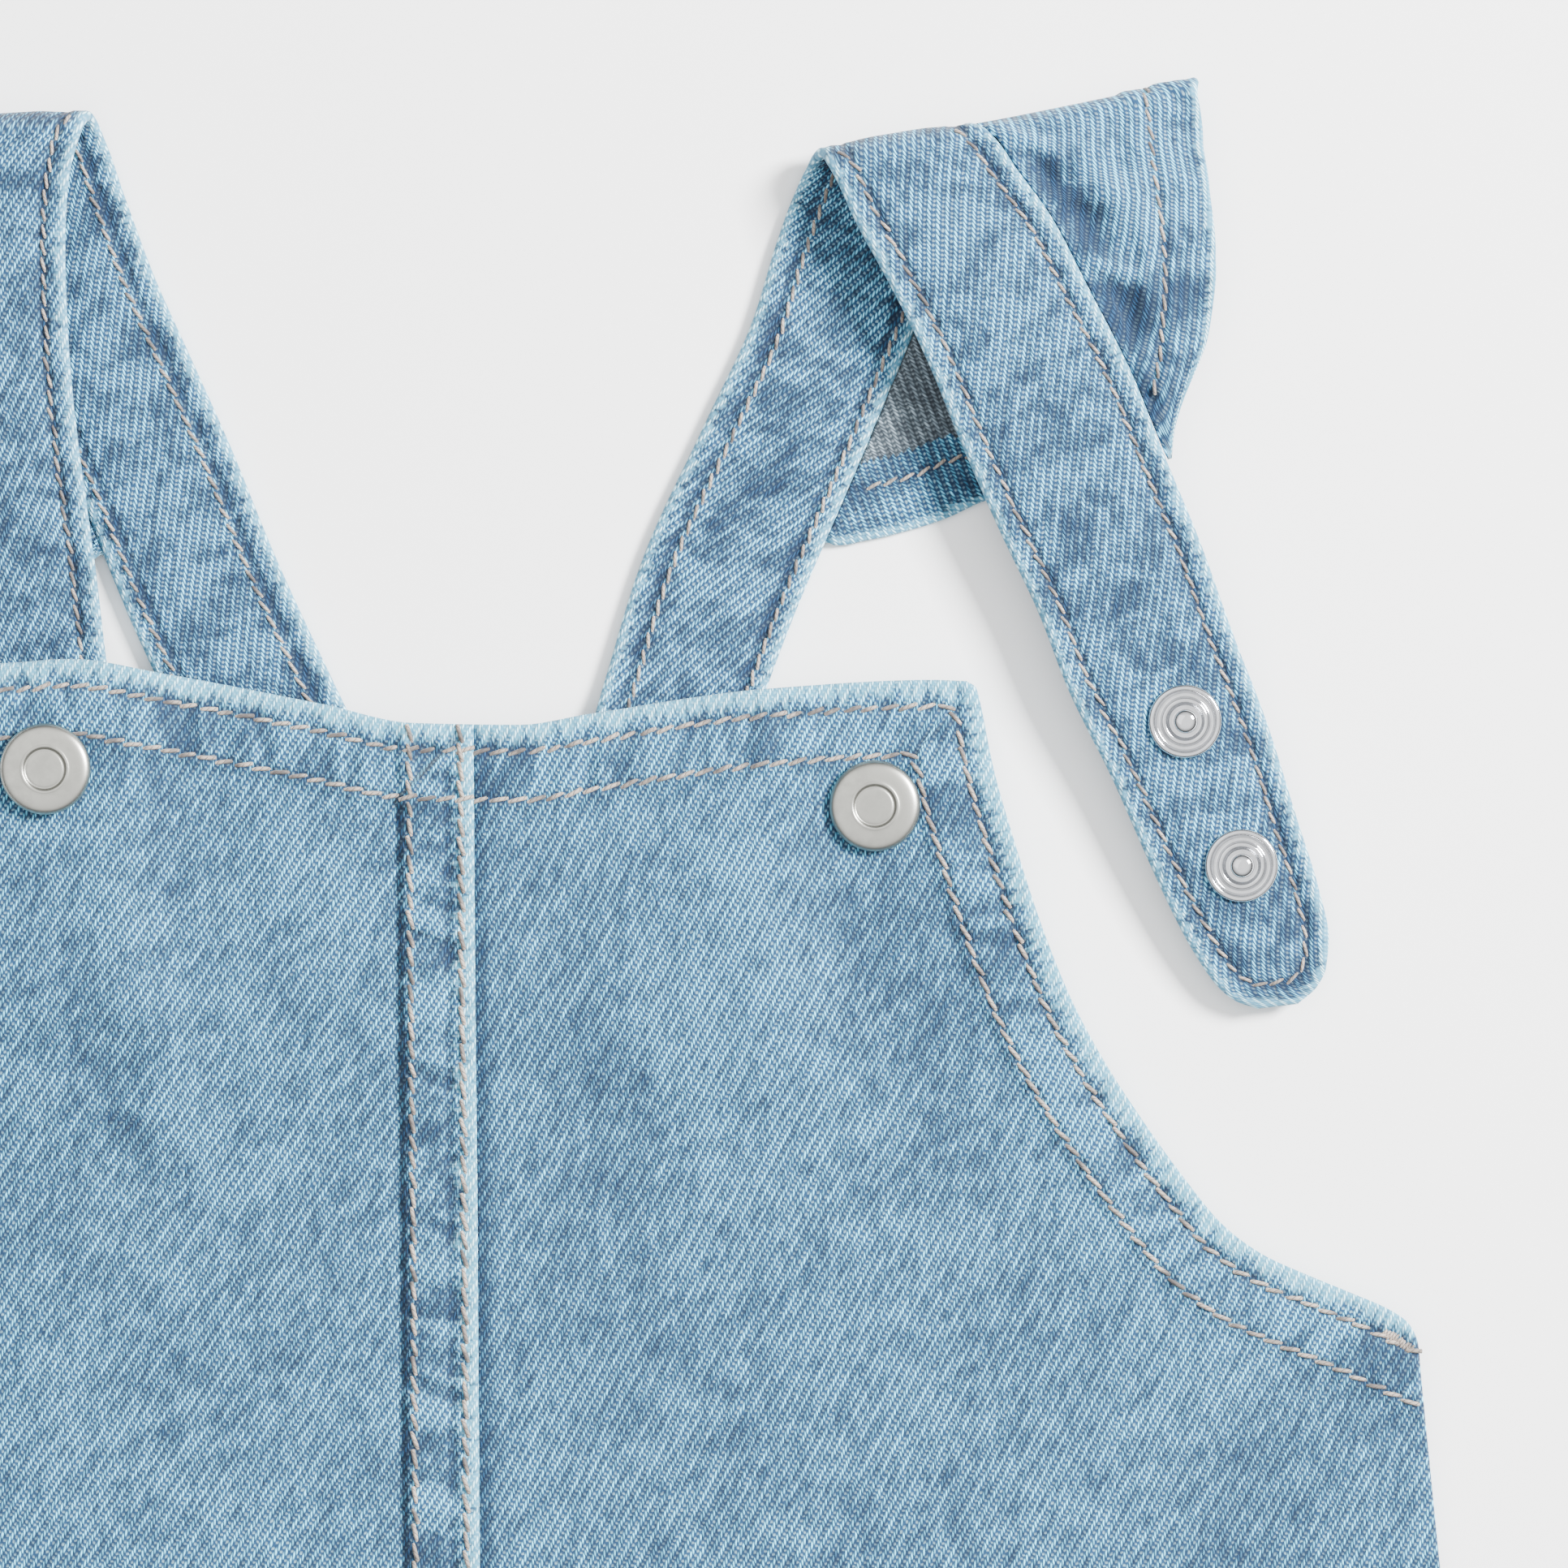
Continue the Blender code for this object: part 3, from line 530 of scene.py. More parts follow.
class Graph:
    """Short ways to place and join nodes in one tree."""

    def __init__(self, tree: bpy.types.NodeTree) -> None:
        """Keep the tree that is filled."""
        self.tree = tree

    def node(self, kind: str, **settings: object) -> bpy.types.Node:
        """Add a node and set its options."""
        made = self.tree.nodes.new(kind)
        for name, value in settings.items():
            setattr(made, name, value)
        return made

    def put(self, socket: bpy.types.NodeSocket, value: object) -> None:
        """Join a socket to an output, or give it a value."""
        if isinstance(value, bpy.types.NodeSocket):
            self.tree.links.new(value, socket)
        else:
            socket.default_value = value

    def math(self, operation: str, *values: object, clamp: bool = False) -> bpy.types.NodeSocket:
        """Add a Math node and return its output."""
        made = self.node("ShaderNodeMath", operation=operation, use_clamp=clamp)
        for socket, value in zip(made.inputs, values):
            self.put(socket, value)
        return made.outputs[0]

    def mix(self, share: object, first: object, second: object, blend: str = "MIX") -> bpy.types.NodeSocket:
        """Mix two colours and return the result."""
        made = self.node("ShaderNodeMix", data_type="RGBA", blend_type=blend)
        made.clamp_factor = True
        self.put(made.inputs[0], share)
        self.put(made.inputs[6], first)
        self.put(made.inputs[7], second)
        return made.outputs[2]

    def step(self, value: object, low: float, high: float, first: float = 0.0,
             last: float = 1.0) -> bpy.types.NodeSocket:
        """Return a soft step of a value from first to last between low and high."""
        made = self.node("ShaderNodeMapRange", interpolation_type="SMOOTHSTEP")
        for socket, given in zip(made.inputs, (value, low, high, first, last)):
            self.put(socket, given)
        return made.outputs[0]

    def noise(self, vector: object, scale: float, detail: float = 2.0, rough: float = 0.5,
              turn: float = 0.0) -> bpy.types.NodeSocket:
        """Return a noise of 0 to 1 at a vector."""
        made = self.node("ShaderNodeTexNoise")
        self.put(made.inputs["Vector"], vector)
        made.inputs["Scale"].default_value = scale
        made.inputs["Detail"].default_value = detail
        made.inputs["Roughness"].default_value = rough
        made.inputs["Distortion"].default_value = turn
        return made.outputs[0]

    def stretched(self, vector: object, x: float, y: float, z: float) -> bpy.types.NodeSocket:
        """Return a vector with its parts multiplied."""
        made = self.node("ShaderNodeVectorMath", operation="MULTIPLY")
        self.put(made.inputs[0], vector)
        made.inputs[1].default_value = (x, y, z)
        return made.outputs[0]

    def parts(self, vector: object) -> list[bpy.types.NodeSocket]:
        """Return a vector's three parts."""
        made = self.node("ShaderNodeSeparateXYZ")
        self.put(made.inputs[0], vector)
        return list(made.outputs)

    def joined(self, x: object, y: object, z: object = 0.0) -> bpy.types.NodeSocket:
        """Return a vector made of three parts."""
        made = self.node("ShaderNodeCombineXYZ")
        for socket, value in zip(made.inputs, (x, y, z)):
            self.put(socket, value)
        return made.outputs[0]

    def attribute(self, name: str) -> bpy.types.NodeSocket:
        """Return a number that the mesh carries."""
        return self.node("ShaderNodeAttribute", attribute_name=name).outputs["Fac"]

    def group(self, tree: bpy.types.NodeTree, **values: object) -> bpy.types.Node:
        """Place a node group with its own values."""
        made = self.node("ShaderNodeGroup", node_tree=tree)
        for name, value in values.items():
            self.put(made.inputs[name], value)
        return made


def new_group(name: str, inputs: dict[str, str], outputs: dict[str, str]) -> tuple[Graph, object, object]:
    """Start a shader node group with named inputs and outputs.

    Args:
        name: The group's name.
        inputs: The input names and their socket kinds.
        outputs: The output names and their socket kinds.

    Returns:
        The graph, its group input and its group output.
    """
    tree = bpy.data.node_groups.new(name, "ShaderNodeTree")
    for label, kind in inputs.items():
        tree.interface.new_socket(label, in_out="INPUT", socket_type=kind)
    for label, kind in outputs.items():
        tree.interface.new_socket(label, in_out="OUTPUT", socket_type=kind)
    graph = Graph(tree)
    return graph, graph.node("NodeGroupInput"), graph.node("NodeGroupOutput")


FLOAT = "NodeSocketFloat"
VECTOR = "NodeSocketVector"
WARP_PITCH = 0.39 * MM
WEFT_PITCH = 0.68 * MM
FLOAT_OVER = 4.0


class Effects:
    """Node groups that more than one cloth finish uses, each built once."""

    @staticmethod
    def twill() -> bpy.types.NodeTree:
        """Return the twill: warp floats over three picks, each one pick above its neighbour."""
        found = bpy.data.node_groups.get("twill")
        if found:
            return found
        inputs = {"Weave": VECTOR, "Wobble": FLOAT}
        outputs = {"Height": FLOAT, "Float": FLOAT, "Pick": FLOAT, "Yarn": FLOAT}
        g, given, result = new_group("twill", inputs, outputs)
        weave, wobble = given.outputs["Weave"], given.outputs["Wobble"]
        u, v, _ = g.parts(weave)
        slow = g.noise(weave, 190.0, 3.0, 0.6)
        quick = g.noise(g.stretched(weave, 1.0, 0.25, 1.0), 2400.0, 1.0)
        sway = g.math("MULTIPLY", g.math("SUBTRACT", slow, 0.5), wobble)
        shake = g.math("MULTIPLY", g.math("SUBTRACT", quick, 0.5), 0.55)
        a = g.math("ADD", g.math("DIVIDE", u, WARP_PITCH), g.math("MULTIPLY", sway, 1.3))
        b = g.math("ADD", g.math("DIVIDE", v, WEFT_PITCH), g.math("ADD", sway, shake))
        end = g.math("FLOOR", a)
        phase = g.math("FRACT", g.math("DIVIDE", g.math("SUBTRACT", b, end), FLOAT_OVER))
        across = g.math("SINE", g.math("MULTIPLY", g.math("FRACT", a), math.pi))
        along = g.math("SINE", g.math("MULTIPLY", g.step(phase, 0.14, 1.0), math.pi))
        crown = g.math("MULTIPLY", g.math("POWER", along, 1.0), g.math("POWER", across, 0.45))
        pick = g.step(phase, 0.16, 0.02)
        last = g.step(phase, 0.93, 1.0)
        pick = g.math("MAXIMUM", pick, last)
        cell = g.math("FLOOR", g.math("DIVIDE", g.math("SUBTRACT", b, end), FLOAT_OVER))
        chance = g.node("ShaderNodeTexWhiteNoise", noise_dimensions="2D")
        g.put(chance.inputs["Vector"], g.joined(end, cell))
        yarn = g.noise(g.joined(end, g.math("MULTIPLY", b, 0.16)), 1.7, 2.0)
        yarn = g.math("MULTIPLY_ADD", chance.outputs["Value"], 0.35, g.math("SUBTRACT", yarn, 0.175))
        height = g.math("ADD", crown, g.math("MULTIPLY", pick, 0.22))
        for name, value in (("Height", height), ("Float", crown), ("Pick", pick), ("Yarn", yarn)):
            g.put(result.inputs[name], value)
        return g.tree

    @staticmethod
    def wash() -> bpy.types.NodeTree:
        """Return the stone wash: clouds, patches, and streaks that run along the ribs."""
        found = bpy.data.node_groups.get("stone_wash")
        if found:
            return found
        inputs = {"Place": VECTOR, "Weave": VECTOR, "Patches": FLOAT}
        g, given, result = new_group("stone_wash", inputs, {"Wash": FLOAT})
        place, weave = given.outputs["Place"], given.outputs["Weave"]
        u, v, _ = g.parts(weave)
        along = g.math("ADD", g.math("MULTIPLY", u, 95.0), g.math("MULTIPLY", v, 165.0))
        over = g.math("SUBTRACT", g.math("MULTIPLY", u, 633.0), g.math("MULTIPLY", v, 363.0))
        streak = g.noise(g.joined(over, along), 1.0, 2.0, 0.6)
        cloud = g.noise(place, 30.0, 2.0, 0.5, 0.3)
        spot = g.noise(place, 150.0, 3.0, 0.6, 0.5)
        patch = g.noise(g.stretched(weave, 0.7, 1.15, 1.0), 165.0, 3.0, 0.6, 0.5)
        patch = g.math("MULTIPLY", g.step(patch, 0.33, 0.67, -0.5, 0.5), given.outputs["Patches"])
        total = g.math("MULTIPLY_ADD", g.math("SUBTRACT", streak, 0.5), 1.35, patch)
        total = g.math("MULTIPLY_ADD", g.math("SUBTRACT", cloud, 0.5), 0.5, total)
        total = g.math("MULTIPLY_ADD", g.math("SUBTRACT", spot, 0.5), 0.7, total)
        g.put(result.inputs["Wash"], total)
        return g.tree

    @staticmethod
    def seam() -> bpy.types.NodeTree:
        """Return a turned edge's wear, a pale fold and puckers between rows, and the furrows of its needle
        lines, which the finish darkens with painted shade.
        """
        found = bpy.data.node_groups.get("seam_wear")
        if found:
            return found
        inputs = dict.fromkeys(("Edge", "Run", "First Row", "Second Row", "Width", "Reach"), FLOAT)
        results = dict.fromkeys(("Wear", "Pucker", "Dip"), FLOAT)
        g, given, result = new_group("seam_wear", inputs, results)
        edge, run = given.outputs["Edge"], given.outputs["Run"]
        first, second, width = (given.outputs[k] for k in ("First Row", "Second Row", "Width"))
        ticks = g.noise(g.joined(g.math("MULTIPLY", run, 0.8), g.math("MULTIPLY", edge, 0.12)), 1.0, 2.0, 0.6)
        ragged = g.math("DIVIDE", edge, given.outputs["Reach"])
        ragged = g.math("MULTIPLY_ADD", g.math("SUBTRACT", ticks, 0.5), -2.4, ragged)
        wear = g.math("MULTIPLY", g.step(ragged, 1.1, 0.4), g.step(ticks, 0.33, 0.52, 0.45, 1.0))
        slant = g.math("MULTIPLY_ADD", run, 0.21, g.math("MULTIPLY", edge, 0.06))
        rope = g.noise(g.joined(slant, g.math("MULTIPLY", edge, 0.05), 3.7), 1.0, 2.0, 0.5, 0.2)
        rope = g.step(rope, 0.36, 0.64, -1.0, 1.0)
        inner_end = g.step(g.math("SUBTRACT", width, edge), -0.6, 1.6)
        band = g.math("MULTIPLY", g.step(edge, 1.2, 3.6), inner_end)
        pucker = g.math("MULTIPLY", rope, band)

        def line(row: object) -> bpy.types.NodeSocket:
            """Return the furrow along a row of stitches, which the finish darkens with painted shade."""
            apart = g.math("ABSOLUTE", g.math("SUBTRACT", edge, row))
            return g.step(apart, 1.15, 0.2)

        dip = g.math("MAXIMUM", line(first), line(second))
        holes = g.noise(g.joined(g.math("MULTIPLY", run, 0.62), 5.0), 1.0, 1.0)
        dip = g.math("MULTIPLY", dip, g.step(holes, 0.3, 0.62, 0.45, 1.0))
        for name, value in (("Wear", wear), ("Pucker", pucker), ("Dip", dip)):
            g.put(result.inputs[name], value)
        return g.tree


@dataclass(frozen=True)
class Denim:
    """A denim finish: its dyed colours, its pick, and the rows of its turned edge."""

    name: str
    deep: tuple[float, ...]
    dark: tuple[float, ...]
    light: tuple[float, ...]
    pale: tuple[float, ...]
    level: float = 0.5
    patches: float = 0.1
    contrast: float = 2.1
    first_row: float = 4.3
    second_row: float = 12.0
    width: float = 12.5
    wear: float = 1.0
    reach: float = 3.0
    puckers: float = 0.3
    # Weight of the painted shade in crease troughs and beside the felled seam, and of the painted highlight
    # on crease ridges.
    painted_shade_and_highlight: float = 0.35
    # Weight of the painted shade in the furrows along the rows of stitches.
    stitch_line_painted_shade: float = 0.4

    def material(self) -> bpy.types.Material:
        """Return the finish, built once."""
        found = bpy.data.materials.get(self.name)
        if found:
            return found
        made = bpy.data.materials.new(self.name)
        made.use_nodes = True
        g = Graph(made.node_tree)
        shader = made.node_tree.nodes["Principled BSDF"]
        weave = g.node("ShaderNodeUVMap", uv_map="weave").outputs[0]
        place = g.node("ShaderNodeTexCoord").outputs["Object"]
        twill = g.group(Effects.twill(), Weave=weave, Wobble=2.0)
        wash = g.group(Effects.wash(), Place=place, Weave=weave, Patches=self.patches).outputs["Wash"]
        seam = g.group(Effects.seam(), **{
            "Edge": g.attribute("edge"), "Run": g.attribute("run"), "First Row": self.first_row,
            "Second Row": self.second_row, "Width": self.width, "Reach": self.reach,
        })
        wear, pucker, dip = (seam.outputs[name] for name in ("Wear", "Pucker", "Dip"))
        tone = g.math("ADD", wash, self.level)
        tone = g.math("MULTIPLY_ADD", pucker, self.puckers, tone)
        # Painted shade and painted highlight from the shade attribute.
        tone = g.math("MULTIPLY_ADD", g.attribute("shade"), self.painted_shade_and_highlight, tone)
        tone = g.math("MULTIPLY_ADD", g.math("SUBTRACT", twill.outputs["Yarn"], 0.5), 0.7, tone)
        # Painted shade in the furrows along the rows of stitches.
        tone = g.math("MULTIPLY_ADD", dip, -self.stitch_line_painted_shade, tone, clamp=True)
        worn = g.math("MULTIPLY", wear, self.wear)
        fade = g.math("POWER", tone, 2.2)
        # Float crowns are worn pale (real wear); valleys and weft crossings take the dark dye colours, partly
        # unfaded dye and partly painted shade between the ribs.
        raised = g.mix(g.math("MULTIPLY", worn, 0.8), g.mix(fade, self.dark, self.light), self.pale)
        valley_dye_and_shade = g.mix(fade, self.deep, self.dark)
        valley_dye_and_shade = g.mix(g.math("MULTIPLY", worn, 0.3), valley_dye_and_shade, self.light)
        share = g.math("POWER", g.step(twill.outputs["Float"], 0.12, 0.92), self.contrast)
        colour = g.mix(share, valley_dye_and_shade, raised)
        picks = g.math("MULTIPLY", twill.outputs["Pick"], g.math("MULTIPLY_ADD", fade, 0.25, 0.05))
        colour = g.mix(picks, colour, self.pale)
        shader.inputs["Roughness"].default_value = 0.88
        shader.inputs["Sheen Weight"].default_value = 0.12
        shader.inputs["Sheen Roughness"].default_value = 0.5
        shader.inputs["Specular IOR Level"].default_value = 0.25
        g.put(shader.inputs["Base Color"], colour)
        height = g.math("MULTIPLY", twill.outputs["Height"], 0.2)
        height = g.math("MULTIPLY_ADD", pucker, 0.18, height)
        height = g.math("MULTIPLY_ADD", dip, -0.25, height)
        bump = g.node("ShaderNodeBump")
        bump.inputs["Distance"].default_value = MM
        bump.inputs["Strength"].default_value = 0.85
        g.put(bump.inputs["Height"], height)
        g.put(shader.inputs["Normal"], bump.outputs[0])
        made.diffuse_color = self.light
        return made


@dataclass(frozen=True)
class Metal:
    """A plated metal finish."""

    name: str
    colour: tuple[float, ...]
    roughness: float
    grain: float

    def material(self) -> bpy.types.Material:
        """Return the finish, built once."""
        found = bpy.data.materials.get(self.name)
        if found:
            return found
        made = bpy.data.materials.new(self.name)
        made.use_nodes = True
        g = Graph(made.node_tree)
        shader = made.node_tree.nodes["Principled BSDF"]
        place = g.node("ShaderNodeTexCoord").outputs["Object"]
        cloud = g.noise(place, 420.0, 3.0, 0.6)
        fine = g.noise(place, 5200.0, 2.0, 0.7)
        dull = tuple(value * 0.86 for value in self.colour[:3]) + (1.0,)
        g.put(shader.inputs["Base Color"], g.mix(g.step(cloud, 0.35, 0.7), self.colour, dull))
        rough = g.math("MULTIPLY_ADD", g.math("SUBTRACT", cloud, 0.5), 0.18, self.roughness)
        g.put(shader.inputs["Roughness"], g.math("MAXIMUM", rough, 0.05))
        shader.inputs["Metallic"].default_value = 1.0
        bump = g.node("ShaderNodeBump")
        bump.inputs["Distance"].default_value = 0.02 * MM
        bump.inputs["Strength"].default_value = self.grain
        g.put(bump.inputs["Height"], fine)
        g.put(shader.inputs["Normal"], bump.outputs[0])
        made.diffuse_color = self.colour
        return made


@dataclass(frozen=True)
class Thread:
    """A twisted sewing thread."""

    name: str
    colour: tuple[float, ...]
    # Dark colour for random darker patches, and painted shade in the twist furrows between the plies.
    dark_tone_and_painted_ply_shade: tuple[float, ...]

    def material(self) -> bpy.types.Material:
        """Return the finish, built once."""
        found = bpy.data.materials.get(self.name)
        if found:
            return found
        made = bpy.data.materials.new(self.name)
        made.use_nodes = True
        g = Graph(made.node_tree)
        shader = made.node_tree.nodes["Principled BSDF"]
        place = g.node("ShaderNodeTexCoord").outputs["Object"]
        twice_round = g.math("MULTIPLY", g.attribute("around"), 2.0)
        turn = g.math("MULTIPLY_ADD", g.attribute("along"), 3.0, twice_round)
        ply = g.math("ABSOLUTE", g.math("SINE", g.math("MULTIPLY", turn, math.pi)))
        fade = g.noise(place, 240.0, 2.0)
        # Random darker patches, then painted shade in the twist furrows between the plies.
        base = g.mix(g.step(fade, 0.35, 0.7), self.colour, self.dark_tone_and_painted_ply_shade)
        g.put(shader.inputs["Base Color"], g.mix(g.step(ply, 0.0, 0.5), self.dark_tone_and_painted_ply_shade, base))
        shader.inputs["Roughness"].default_value = 0.7
        shader.inputs["Sheen Weight"].default_value = 0.2
        bump = g.node("ShaderNodeBump")
        bump.inputs["Distance"].default_value = 0.08 * MM
        bump.inputs["Strength"].default_value = 0.6
        g.put(bump.inputs["Height"], ply)
        g.put(shader.inputs["Normal"], bump.outputs[0])
        made.diffuse_color = self.colour
        return made


class Finish(Enum):
    """The finishes of the dress."""

    FRONT = Denim(
        "denim_front", (0.0045, 0.0145, 0.0365, 1.0), (0.0105, 0.047, 0.109, 1.0),
        (0.19, 0.72, 1.0, 1.0), (0.56, 0.92, 1.0, 1.0), level=0.78,
    )
    STRAP = Denim(
        "denim_strap", (0.004, 0.0132, 0.034, 1.0), (0.0098, 0.0435, 0.102, 1.0),
        (0.21, 0.68, 0.96, 1.0), (0.56, 0.88, 0.97, 1.0), level=0.78, patches=0.62,
        first_row=3.7, second_row=3.7, width=4.0, reach=1.7, puckers=0.12, stitch_line_painted_shade=0.6,
    )
    FRILL = Denim(
        "denim_frill", (0.0042, 0.014, 0.036, 1.0), (0.010, 0.046, 0.107, 1.0),
        (0.20, 0.68, 0.96, 1.0), (0.56, 0.88, 0.97, 1.0), level=0.76, patches=0.4,
        first_row=8.5, second_row=8.5, width=9.0, reach=1.6, puckers=0.12, painted_shade_and_highlight=0.85,
    )
    INSIDE = Denim(
        "denim_inside", (0.0155, 0.0205, 0.028, 1.0), (0.040, 0.055, 0.067, 1.0),
        (0.28, 0.36, 0.42, 1.0), (0.5, 0.6, 0.66, 1.0), level=0.72, contrast=0.9, wear=0.3,
        puckers=0.1,
    )
    THREAD = Thread("thread", (0.36, 0.30, 0.25, 1.0), (0.06, 0.05, 0.047, 1.0))
    NICKEL = Metal("satin_nickel", (0.36, 0.36, 0.33, 1.0), 0.34, 0.35)
    STEEL = Metal("bright_steel", (0.60, 0.61, 0.63, 1.0), 0.11, 0.1)


@dataclass(frozen=True)
class Sewing:
    """Sizes of a row of stitches, in millimetres and radians."""

    pitch: float = 3.0
    length: float = 2.95
    thick: float = 0.72
    rise: float = 0.42
    slant: float = 0.26
    seed: int = 3


FINE_SEWING = Sewing(pitch=2.7, length=2.4, thick=0.56, rise=0.34, seed=5)
BARTACK_SEWING = Sewing(pitch=0.5, length=1.9, thick=0.5, rise=0.5, slant=1.3, seed=7)


class StitchMaker:
    """Sews rows of stitches along lines on a piece's surface."""

    INPUTS = (
        ("Pitch", FLOAT), ("Length", FLOAT), ("Thick", FLOAT), ("Rise", FLOAT), ("Slant", FLOAT),
        ("Seed", "NodeSocketInt"), ("Thread", "NodeSocketMaterial"),
    )

    def tree(self) -> bpy.types.NodeTree:
        """Return the node tree that lays a stitch at each pitch along the lines."""
        found = bpy.data.node_groups.get("stitch_rows")
        if found:
            return found
        tree = bpy.data.node_groups.new("stitch_rows", "GeometryNodeTree")
        tree.interface.new_socket("Lines", in_out="INPUT", socket_type="NodeSocketGeometry")
        for name, kind in self.INPUTS:
            tree.interface.new_socket(name, in_out="INPUT", socket_type=kind)
        tree.interface.new_socket("Stitches", in_out="OUTPUT", socket_type="NodeSocketGeometry")
        g = Graph(tree)
        given, result = g.node("NodeGroupInput").outputs, g.node("NodeGroupOutput")
        curve = g.node("GeometryNodeMeshToCurve")
        g.put(curve.inputs[0], given["Lines"])
        spaced = g.node("GeometryNodeResampleCurve", mode="LENGTH")
        g.put(spaced.inputs["Curve"], curve.outputs[0])
        g.put(spaced.inputs["Length"], given["Pitch"])
        stitch = self.stitch(g, given)
        up = g.node("GeometryNodeInputNamedAttribute", data_type="FLOAT_VECTOR")
        up.inputs["Name"].default_value = "up"
        lay = g.node("FunctionNodeAlignRotationToVector", axis="X")
        g.put(lay.inputs["Vector"], g.node("GeometryNodeInputTangent").outputs[0])
        stand = g.node("FunctionNodeAlignRotationToVector", axis="Z", pivot_axis="X")
        g.put(stand.inputs["Rotation"], lay.outputs[0])
        g.put(stand.inputs["Vector"], up.outputs[0])
        chance = g.node("FunctionNodeRandomValue", data_type="FLOAT")
        g.put(chance.inputs[2], -0.09)
        g.put(chance.inputs[3], 0.09)
        g.put(chance.inputs["Seed"], given["Seed"])
        swing = g.math("ADD", given["Slant"], chance.outputs[1])
        euler = g.node("FunctionNodeEulerToRotation")
        g.put(euler.inputs[0], g.joined(0.0, 0.0, swing))
        turned = g.node("FunctionNodeRotateRotation", rotation_space="LOCAL")
        g.put(turned.inputs[0], stand.outputs[0])
        g.put(turned.inputs[1], euler.outputs[0])
        laid = g.node("GeometryNodeInstanceOnPoints")
        g.put(laid.inputs["Points"], spaced.outputs[0])
        g.put(laid.inputs["Instance"], stitch)
        g.put(laid.inputs["Rotation"], turned.outputs[0])
        real = g.node("GeometryNodeRealizeInstances")
        g.put(real.inputs[0], laid.outputs[0])
        dressed = g.node("GeometryNodeSetMaterial")
        g.put(dressed.inputs["Geometry"], real.outputs[0])
        g.put(dressed.inputs["Material"], given["Thread"])
        g.put(result.inputs[0], dressed.outputs[0])
        return tree

    def stitch(self, g: Graph, given: bpy.types.bpy_prop_collection) -> bpy.types.NodeSocket:
        """Add one arched stitch along X, and return its geometry.

        Args:
            g: The graph that is filled.
            given: The group's inputs.

        Returns:
            The stitch's mesh.
        """
        half = g.math("MULTIPLY", given["Length"], 0.5)
        low = g.math("MULTIPLY", given["Rise"], -0.65)
        high = g.math("MULTIPLY", given["Rise"], 1.05)
        arch = g.node("GeometryNodeCurveQuadraticBezier")
        arch.inputs["Resolution"].default_value = 5
        g.put(arch.inputs["Start"], g.joined(g.math("MULTIPLY", half, -1.0), 0.0, low))
        g.put(arch.inputs["Middle"], g.joined(0.0, 0.0, high))
        g.put(arch.inputs["End"], g.joined(half, 0.0, low))
        ring = g.node("GeometryNodeCurvePrimitiveCircle", mode="RADIUS")
        ring.inputs["Resolution"].default_value = 6
        g.put(ring.inputs["Radius"], g.math("MULTIPLY", given["Thick"], 0.5))
        lines = []
        for shape, name in ((arch, "along"), (ring, "around")):
            kept = g.node("GeometryNodeStoreNamedAttribute", data_type="FLOAT", domain="POINT")
            kept.inputs["Name"].default_value = name
            g.put(kept.inputs["Geometry"], shape.outputs["Curve"])
            factor = g.node("GeometryNodeSplineParameter").outputs["Factor"]
            g.put(next(s for s in kept.inputs if s.name == "Value" and s.enabled), factor)
            lines.append(kept.outputs[0])
        solid = g.node("GeometryNodeCurveToMesh")
        g.put(solid.inputs["Curve"], lines[0])
        g.put(solid.inputs["Profile Curve"], lines[1])
        g.put(solid.inputs["Fill Caps"], True)
        soft = g.node("GeometryNodeSetShadeSmooth")
        g.put(soft.inputs["Geometry"], solid.outputs[0])
        return soft.outputs[0]

    def sew(self, name: str, cloth: bpy.types.Object, rows: Sequence[Points],
            sewing: Sewing) -> bpy.types.Object:
        """Make the stitches of a piece.

        Args:
            name: The new piece's name.
            cloth: The piece that is sewn.
            rows: The rows, as points near its surface, in millimetres.
            sewing: The sizes of the stitches.

        Returns:
            One plain mesh with all the stitches.
        """
        surface = BVHTree.FromPolygons(
            [vert.co.copy() for vert in cloth.data.vertices],
            [tuple(poly.vertices) for poly in cloth.data.polygons],
        )
        places, ups, edges = [], [], []
        for row in rows:
            first = len(places)
            for point in world(as_row(row)):
                place, normal, _, _ = surface.find_nearest(Vector(point))
                places.append(place + normal * (0.02 * MM))
                ups.append(normal)
            edges += [(k, k + 1) for k in range(first, len(places) - 1)]
        mesh = bpy.data.meshes.new(name + "_lines")
        mesh.from_pydata(places, edges, [])
        layer = mesh.attributes.new("up", "FLOAT_VECTOR", "POINT")
        layer.data.foreach_set("vector", np.array(ups, np.float32).ravel())
        lines = bpy.data.objects.new(name + "_lines", mesh)
        bpy.context.scene.collection.objects.link(lines)
        modifier = lines.modifiers.new("stitches", "NODES")
        modifier.node_group = self.tree()
        thread = Finish.THREAD.value.material()
        values = {
            "Pitch": sewing.pitch * MM, "Length": sewing.length * MM, "Thick": sewing.thick * MM,
            "Rise": sewing.rise * MM, "Slant": sewing.slant, "Seed": sewing.seed, "Thread": thread,
        }
        for item in modifier.node_group.interface.items_tree:
            if item.in_out == "INPUT" and item.name in values:
                modifier[item.identifier] = values[item.name]
        lines.data.update()
        graph = bpy.context.evaluated_depsgraph_get()
        made = bpy.data.meshes.new_from_object(lines.evaluated_get(graph))
        made.name = name
        lines.modifiers.clear()
        bpy.data.objects.remove(lines)
        bpy.data.meshes.remove(mesh)
        obj = bpy.data.objects.new(name, made)
        bpy.context.scene.collection.objects.link(obj)
        return obj


def hand_in(obj: bpy.types.Object, slot: str, *nodes: str) -> bpy.types.Object:
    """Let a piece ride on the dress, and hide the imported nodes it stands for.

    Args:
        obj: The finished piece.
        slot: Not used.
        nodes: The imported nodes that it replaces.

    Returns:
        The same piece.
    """
    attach(obj, ROOT)
    if nodes:
        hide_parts(*nodes)
    faces = sum(len(poly.vertices) - 2 for poly in obj.data.polygons)
    LOG.info("%s: %d triangles", obj.name, faces)
    return obj


